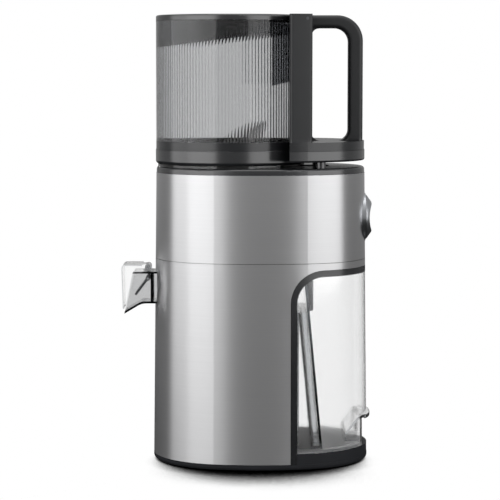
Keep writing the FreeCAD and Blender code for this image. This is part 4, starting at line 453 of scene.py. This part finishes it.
# Front of the pulp bin
# The bin's front is double: a thick slanted rib lies along the outside of its sloping wall, and a thin
# upright skirt closes the gap to the bay. The rib is edged with a near-black strip of the dark copolyester.
# It is painted shade, standing in for the dark line that the light draws along the wall's edge. Rib and
# skirt are the bin's clear plastic, and a grey tab to grip it by is clipped on above them.
SLOPE_TOP = (0.0572, 0.188)
SLOPE_FOOT = (0.0732, 0.0174)
RIB_THICKNESS = 0.005
STRIP_THICKNESS = 0.0026
RIB_HALF_WIDTH = 0.045
RIB_GAP = 0.0005
RIB_FOOT_GAP = 0.0015
RIB_TAB_GAP = 0.0005
EDGE_ROUND = 0.0005
SKIRT_THICKNESS = 0.0018
SKIRT_INSET = 0.0002
bin_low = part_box("pulp_bin")[0]
tab_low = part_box("bin_tab")[0]
rib_low = bin_low.z + RIB_FOOT_GAP
rib_high = tab_low.z - RIB_TAB_GAP


def slope_x(z):
    """Where the outside of the bin's sloping wall lies at a height."""
    share = (SLOPE_TOP[1] - z) / (SLOPE_TOP[1] - SLOPE_FOOT[1])
    return SLOPE_TOP[0] + share * (SLOPE_FOOT[0] - SLOPE_TOP[0])


def slanted(near, far):
    """Outline of a band that lies between two distances in front of the sloping wall."""
    return [(slope_x(rib_low) - far, rib_low), (slope_x(rib_low) - near, rib_low),
            (slope_x(rib_high) - near, rib_high), (slope_x(rib_high) - far, rib_high)]


rib_face = RIB_GAP + RIB_THICKNESS
strip_back = rib_face + RIB_GAP
skirt_front = bin_low.x + SKIRT_INSET
skirt_back = skirt_front + SKIRT_THICKNESS
skirt_outline = [(skirt_front, rib_low), (skirt_back, rib_low),
                 (skirt_back, rib_high), (skirt_front, rib_high)]
for label, outline, material, slot in (
        ("bin_front_rib", slanted(RIB_GAP, rib_face), clear_plastic, "clear_plastic"),
        # The near-black strip is painted shade: a dark line drawn along the rib's face.
        ("bin_rib_painted_shade_strip", slanted(strip_back, strip_back + STRIP_THICKNESS), smoky_dark, "smoked_dark"),
        ("bin_front_skirt", skirt_outline, clear_plastic, "clear_plastic")):
    shape = bmesh.new()
    add_prism(shape, outline, RIB_HALF_WIDTH)
    bmesh.ops.recalc_face_normals(shape, faces=shape.faces)
    bmesh.ops.bevel(shape, geom=shape.edges[:], offset=EDGE_ROUND, segments=2, profile=0.5, affect="EDGES")
    bin_front = made_from(shape, label, material)
    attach(bin_front, "pulp_bin")

# Grey ABS with a fine moulded grain: a flat mid grey with a soft highlight.
grey_abs = mottled("moulded_abs_satin_grey", 0.8, 3.0, ("#6B6D70", "#76787B"), (0.4, 0.5), {"IOR": 1.53})
dress(grey_abs, "bin_tab")

# Silicone seals and the drip flap
# Grey silicone: the shaft seal, the spout gasket, the seat ring and the flap that shuts off the drip. They
# are pressed into their grooves, and the rubber is matt and slightly cloudy.
silicone = mottled("grey_silicone_rubber", 5, 3.0, ("#45474A", "#505255"), (0.5, 0.62), {"IOR": 1.41})
dress(silicone, "shaft_seal", "spout_gasket", "flap_seat", "drip_flap")

# Auger and cutting wing
# The screw that presses the food and the wing above it that cuts it: dark polyetherimide, moulded solid. It
# is stiff and slightly brown, with a dry gloss and scuffs where food rubs it.
ultem = blank_material("dark_polyetherimide")
t = ultem.node_tree
place = add(t, "ShaderNodeTexCoord")
flow = add(t, "ShaderNodeTexNoise", {
    "Vector": place.outputs["Object"], "Scale": 1000 / 12, "Detail": 4.0})
scuff = add(t, "ShaderNodeTexNoise", {
    "Vector": place.outputs["Object"], "Scale": 1000 / 2, "Detail": 5.0})
tone = add(t, "ShaderNodeMix", {
    "Factor": flow.outputs["Fac"], "A": srgb("#262524"), "B": srgb("#343230")}, data_type="RGBA")
dull = add(t, "ShaderNodeMapRange", {"Value": scuff.outputs["Fac"], "To Min": 0.28, "To Max": 0.5})
skin = add(t, "ShaderNodeBsdfPrincipled", {
    "Base Color": tone.outputs["Result"], "Roughness": dull.outputs["Result"], "IOR": 1.65})
add(t, "ShaderNodeOutputMaterial", {"Surface": skin.outputs["BSDF"]})
dress(ultem, "auger", "cutting_wing")

# Drive train
# Motor can, die-cast gear case, nylon gears, turned steel shafts and pinions and sintered bushes, all
# inside the body. They show only when the pieces round them are taken away, but each has its own finish.

# Turned steel: bright, with fine rings left by the tool, drawn coarse enough to show.
turned_steel = blank_material("turned_steel")
t = turned_steel.node_tree
place = add(t, "ShaderNodeTexCoord")
rings = add(t, "ShaderNodeTexWave", {
    "Vector": place.outputs["Object"], "Scale": 1000 / 4, "Distortion": 1.0}, bands_direction="Z")
tone = add(t, "ShaderNodeMix", {
    "Factor": rings.outputs["Fac"], "A": srgb("#BDC0C2"), "B": srgb("#C9CCCE")}, data_type="RGBA")
dull = add(t, "ShaderNodeMapRange", {"Value": rings.outputs["Fac"], "To Min": 0.22, "To Max": 0.32})
skin = add(t, "ShaderNodeBsdfPrincipled", {
    "Base Color": tone.outputs["Result"], "Roughness": dull.outputs["Result"], "Metallic": 1.0})
add(t, "ShaderNodeOutputMaterial", {"Surface": skin.outputs["BSDF"]})
dress(turned_steel, "drive_bush", "motor_pinion", "counter_pinion", "output_bearing", "counter_shaft",
      "output_shaft", "motor_shaft")

# Natural nylon: warm white and slightly milky.
nylon = mottled("natural_nylon", 8, 2.0, ("#D2CFC5", "#DEDBD2"), (0.4, 0.5), {"IOR": 1.53})
dress(nylon, "counter_gear", "output_gear")

# Die-cast aluminium: pale grey with the mottled skin of the die.
die_cast = mottled("die_cast_aluminium", 3, 5.0, ("#84878A", "#96999C"), (0.45, 0.6), {"Metallic": 1.0})
dress(die_cast, "gear_case", "gear_cover")

# Painted steel, on the motor can and the lid's hinge pins: dark grey stoving enamel, a little orange-peeled.
enamel = blank_material("stoved_enamel_on_steel")
t = enamel.node_tree
place = add(t, "ShaderNodeTexCoord")
peel = add(t, "ShaderNodeTexNoise", {
    "Vector": place.outputs["Object"], "Scale": 1000 / 1.6, "Detail": 1.0})
tone = add(t, "ShaderNodeMix", {
    "Factor": peel.outputs["Fac"], "A": srgb("#3B3D40"), "B": srgb("#434548")}, data_type="RGBA")
relief = add(t, "ShaderNodeBump", {"Height": peel.outputs["Fac"], "Strength": 0.2, "Distance": 0.0001})
skin = add(t, "ShaderNodeBsdfPrincipled", {
    "Base Color": tone.outputs["Result"], "Roughness": 0.35, "IOR": 1.5,
    "Normal": relief.outputs["Normal"]})
add(t, "ShaderNodeOutputMaterial", {"Surface": skin.outputs["BSDF"]})
dress(enamel, "motor_can", "lid_hinge_pins")

# Sintered bronze: brown gold and porous, dark with oil.
bronze = mottled("sintered_bronze", 0.7, 4.0, ("#7E5E33", "#A47C45"), (0.4, 0.55), {"Metallic": 1.0})
dress(bronze, "counter_bushes")

# Control board
# A glass-epoxy board behind the bay wall, coated with green lacquer. The lacquer is paler over the copper
# tracks, so its colour changes in fine oblong cells.
board = blank_material("lacquered_glass_epoxy")
t = board.node_tree
place = add(t, "ShaderNodeTexCoord")
tracks = add(t, "ShaderNodeTexBrick", {
    "Vector": place.outputs["Object"], "Scale": 1000 / 12, "Color1": srgb("#1E4E2D"),
    "Color2": srgb("#245A34"), "Mortar": srgb("#2F6B40"), "Mortar Size": 0.03})
skin = add(t, "ShaderNodeBsdfPrincipled", {
    "Base Color": tracks.outputs["Color"], "Roughness": 0.35, "IOR": 1.5})
add(t, "ShaderNodeOutputMaterial", {"Surface": skin.outputs["BSDF"]})
dress(board, "control_board")

# Dial
# The knob on the back: turned aluminium with a satin metallic face, pressed on the shaft of the switch. Its
# face is dished, and a shallow finger groove crosses it, so that two horns stand up for fingers to push.
GROOVE_DEPTH = 0.0026
GROOVE_HALF_WIDTH = 0.0135
GROOVE_LENGTH = 0.08
GROOVE_STEPS = 192
DIAL_STEPS = 96
# How far the points of the dial's outline lie from its back or its front, and how far inside its rim.
DIAL_BACK_EDGE = (0.0012, 0.0008)
DIAL_FRONT = ((0.0006, 0.0067), (0.0, 0.0077), (0.0005, 0.0085), (0.0028, 0.0105))
dial_low, dial_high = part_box("dial_knob")
dial_middle = Vector((dial_low.x, 0.0, (dial_low.z + dial_high.z) / 2))
dial_radius = (dial_high.z - dial_low.z) / 2
dial_reach = dial_high.x - dial_low.x

# Turned aluminium: a soft grey metal with rings round its axis.
satin_aluminium = blank_material("satin_turned_aluminium")
t = satin_aluminium.node_tree
place = add(t, "ShaderNodeTexCoord")
centred = add(t, "ShaderNodeMapping", {"Vector": place.outputs["Object"], "Location": -dial_middle})
spin = add(t, "ShaderNodeTexWave", {
    "Vector": centred.outputs[0], "Scale": 1000 / 6, "Distortion": 0.4},
    wave_type="RINGS", rings_direction="X")
tone = add(t, "ShaderNodeMix", {
    "Factor": spin.outputs["Fac"], "A": srgb("#A3A5A8"), "B": srgb("#AEB0B3")}, data_type="RGBA")
dull = add(t, "ShaderNodeMapRange", {"Value": spin.outputs["Fac"], "To Min": 0.3, "To Max": 0.38})
skin = add(t, "ShaderNodeBsdfPrincipled", {
    "Base Color": tone.outputs["Result"], "Roughness": dull.outputs["Result"], "Metallic": 1.0})
add(t, "ShaderNodeOutputMaterial", {"Surface": skin.outputs["BSDF"]})
dress(satin_aluminium, "dial_bezel")

outline = [(0.0, 0.0), (0.0, dial_radius), (DIAL_BACK_EDGE[0], dial_radius - DIAL_BACK_EDGE[1])]
outline += [(dial_reach - behind, dial_radius - inset) for behind, inset in DIAL_FRONT]
outline += [(outline[-1][0], 0.0)]
shape = bmesh.new()
rim = [shape.verts.new(dial_middle + Vector((x, 0.0, r))) for x, r in outline]
edges = [shape.edges.new(pair) for pair in zip(rim, rim[1:])]
bmesh.ops.spin(shape, geom=rim + edges, cent=dial_middle, axis=(1, 0, 0), angle=math.tau, steps=DIAL_STEPS)
bmesh.ops.remove_doubles(shape, verts=shape.verts, dist=MERGE_DISTANCE)
bmesh.ops.recalc_face_normals(shape, faces=shape.faces)
dial = made_from(shape, "dial_with_groove")
groove_radius = (GROOVE_HALF_WIDTH**2 + GROOVE_DEPTH**2) / (2 * GROOVE_DEPTH)
groove_axis = dial_middle + Vector((dial_reach + groove_radius - GROOVE_DEPTH, 0, 0))
shape = bmesh.new()
bmesh.ops.create_cone(
    shape, cap_ends=True, segments=GROOVE_STEPS, radius1=groove_radius, radius2=groove_radius,
    depth=GROOVE_LENGTH, matrix=Matrix.Translation(groove_axis) @ Matrix.Rotation(math.pi / 2, 4, "X"))
cutter = made_from(shape, "groove_cutter")
groove = dial.modifiers.new("groove", "BOOLEAN")
groove.object = cutter
groove.operation = "DIFFERENCE"
bpy.context.view_layer.update()
cut_mesh = bpy.data.meshes.new_from_object(dial.evaluated_get(bpy.context.evaluated_depsgraph_get()))
dial.modifiers.remove(groove)
dial.data = cut_mesh
bpy.data.objects.remove(cutter)
dial.data.materials.clear()
dial.data.materials.append(satin_aluminium)
tidy_mesh(dial, 32)
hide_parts("dial_knob")
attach(dial, "dial")

# Floor, light and camera
# A white sweep with a soft contact shadow, three large softboxes at the sides and one overhead. Grey flags
# stand round the set, so that metal and gloss have something darker than white to show between the lights.
FLOOR_HALF = 30
# How far each shadow looks for the object, and how open the paper is where it is darkest and where it ends.
SHADOW_REACH = 0.14
SHADOW_OPEN = (0.56, 0.71)
SHADOW_FADE = 1.5
CONTACT_REACH = 0.035
CONTACT_OPEN = (0.5, 0.8)
SKY_FILL = 0.5


def shown_rays(t):
    """Is 1 on a ray that shows the white to the eye: straight, in a mirror or through clear plastic."""
    path = add(t, "ShaderNodeLightPath")
    mirrored = add(t, "ShaderNodeMath", {
        0: path.outputs["Is Camera Ray"], 1: path.outputs["Is Glossy Ray"]}, operation="MAXIMUM")
    shown = add(t, "ShaderNodeMath", {
        0: mirrored.outputs[0], 1: path.outputs["Is Transmission Ray"]}, operation="MAXIMUM")
    return shown.outputs[0]


floor_mesh = bpy.data.meshes.new("floor")
floor_mesh.from_pydata(
    [(-FLOOR_HALF, -FLOOR_HALF, 0), (FLOOR_HALF, -FLOOR_HALF, 0), (FLOOR_HALF, FLOOR_HALF, 0),
     (-FLOOR_HALF, FLOOR_HALF, 0)], [], [(0, 1, 2, 3)])
floor = bpy.data.objects.new("floor", floor_mesh)
bpy.context.scene.collection.objects.link(floor)
# The paper's shadow is drawn from how far the object shuts in each spot that lies before it. It is dark at
# the foot, reaches forward and fades evenly, and hardly any of it falls to the sides.
paper = blank_material("white_paper_sweep")
t = paper.node_tree
shown = shown_rays(t)
forward = add(t, "ShaderNodeCombineXYZ", {"Y": 1.0})
ahead = add(t, "ShaderNodeAmbientOcclusion", {
    "Distance": SHADOW_REACH, "Normal": forward.outputs[0]}, samples=32)
reach = add(t, "ShaderNodeMapRange", {
    "Value": ahead.outputs["AO"], "From Min": SHADOW_OPEN[0], "From Max": SHADOW_OPEN[1]})
fade = add(t, "ShaderNodeMath", {0: reach.outputs["Result"], 1: SHADOW_FADE}, operation="POWER")
contact = add(t, "ShaderNodeAmbientOcclusion", {
    "Distance": CONTACT_REACH, "Normal": forward.outputs[0]}, samples=16)
line = add(t, "ShaderNodeMapRange", {
    "Value": contact.outputs["AO"], "From Min": CONTACT_OPEN[0], "From Max": CONTACT_OPEN[1]})
shadow = add(t, "ShaderNodeMath", {0: fade.outputs[0], 1: line.outputs["Result"]}, operation="MULTIPLY")
white = add(t, "ShaderNodeEmission", {"Color": shadow.outputs[0], "Strength": 1.0})
matt = add(t, "ShaderNodeBsdfDiffuse", {"Color": srgb("#E8E8E8")})
either = add(t, "ShaderNodeMixShader", {0: shown, 1: matt.outputs[0], 2: white.outputs[0]})
add(t, "ShaderNodeOutputMaterial", {"Surface": either.outputs[0]})
floor_mesh.materials.append(paper)

world = bpy.data.worlds.new("studio")
bpy.context.scene.world = world
world.use_nodes = True
world.node_tree.nodes.clear()
t = world.node_tree
level = add(t, "ShaderNodeMapRange", {"Value": shown_rays(t), "To Min": SKY_FILL, "To Max": 1.0})
sky = add(t, "ShaderNodeBackground", {"Color": (1, 1, 1, 1), "Strength": level.outputs["Result"]})
add(t, "ShaderNodeOutputWorld", {"Surface": sky.outputs[0]})

# The flags are a ring of grey cloth and a black card on the floor, seen only by mirror rays.
FLAG_RADIUS = 2.6
FLAG_HEIGHT = 2.4
FLAG_FOOT = 0.0004
for label, tint in (("flag_ring", 0.43), ("floor_card", 0.03)):
    shape = bmesh.new()
    bmesh.ops.create_circle(shape, cap_ends=label == "floor_card", segments=64, radius=FLAG_RADIUS,
                            matrix=Matrix.Translation((0, 0, FLAG_FOOT)))
    if label == "flag_ring":
        raised = bmesh.ops.extrude_edge_only(shape, edges=shape.edges[:])
        bmesh.ops.translate(shape, vec=(0, 0, FLAG_HEIGHT),
                            verts=[v for v in raised["geom"] if isinstance(v, bmesh.types.BMVert)])
    cloth = blank_material(label + "_cloth")
    t = cloth.node_tree
    grey = add(t, "ShaderNodeEmission", {"Color": (tint, tint, tint, 1), "Strength": 1.0})
    add(t, "ShaderNodeOutputMaterial", {"Surface": grey.outputs[0]})
    flag = made_from(shape, label, cloth)
    flag.visible_camera = False
    flag.visible_diffuse = False
    flag.visible_transmission = False
    flag.visible_shadow = False

# Each softbox has its place, width, height and power, and faces the object a little above its middle.
SOFTBOX_AIM = Vector((0.0, 0.0, 0.3))
for label, spot, width, height, power in (
        ("left_softbox", (-0.921, -0.919, 0.57), 1.139, 1.04, 10.2),
        ("left_side_softbox", (-1.29, -0.14, 0.57), 0.75, 1.04, 4.6),
        ("right_softbox", (1.074, -0.736, 0.57), 1.534, 1.04, 11.5),
        ("top_softbox", (0.0, 0.0, 1.9), 1.2, 1.2, 8.0)):
    lamp = bpy.data.lights.new(label, "AREA")
    lamp.shape = "RECTANGLE"
    lamp.size = width
    lamp.size_y = height
    lamp.energy = power
    softbox = bpy.data.objects.new(label, lamp)
    bpy.context.scene.collection.objects.link(softbox)
    softbox.location = spot
    softbox.rotation_euler = (SOFTBOX_AIM - Vector(spot)).to_track_quat("-Z", "Y").to_euler()
    softbox.visible_camera = False

CAMERA_SPOT = (0.003, -2.1, 0.404)
CAMERA_LENS = 147.4
CAMERA_DOWN_TILT = 5.144
camera_data = bpy.data.cameras.new("camera")
camera_data.sensor_width = 36.0
camera_data.lens = CAMERA_LENS
camera = bpy.data.objects.new("camera", camera_data)
camera.location = CAMERA_SPOT
camera.rotation_euler = (math.radians(90 - CAMERA_DOWN_TILT), 0, 0)
bpy.context.scene.collection.objects.link(camera)
bpy.context.scene.camera = camera
bpy.context.scene.view_settings.view_transform = "Standard"
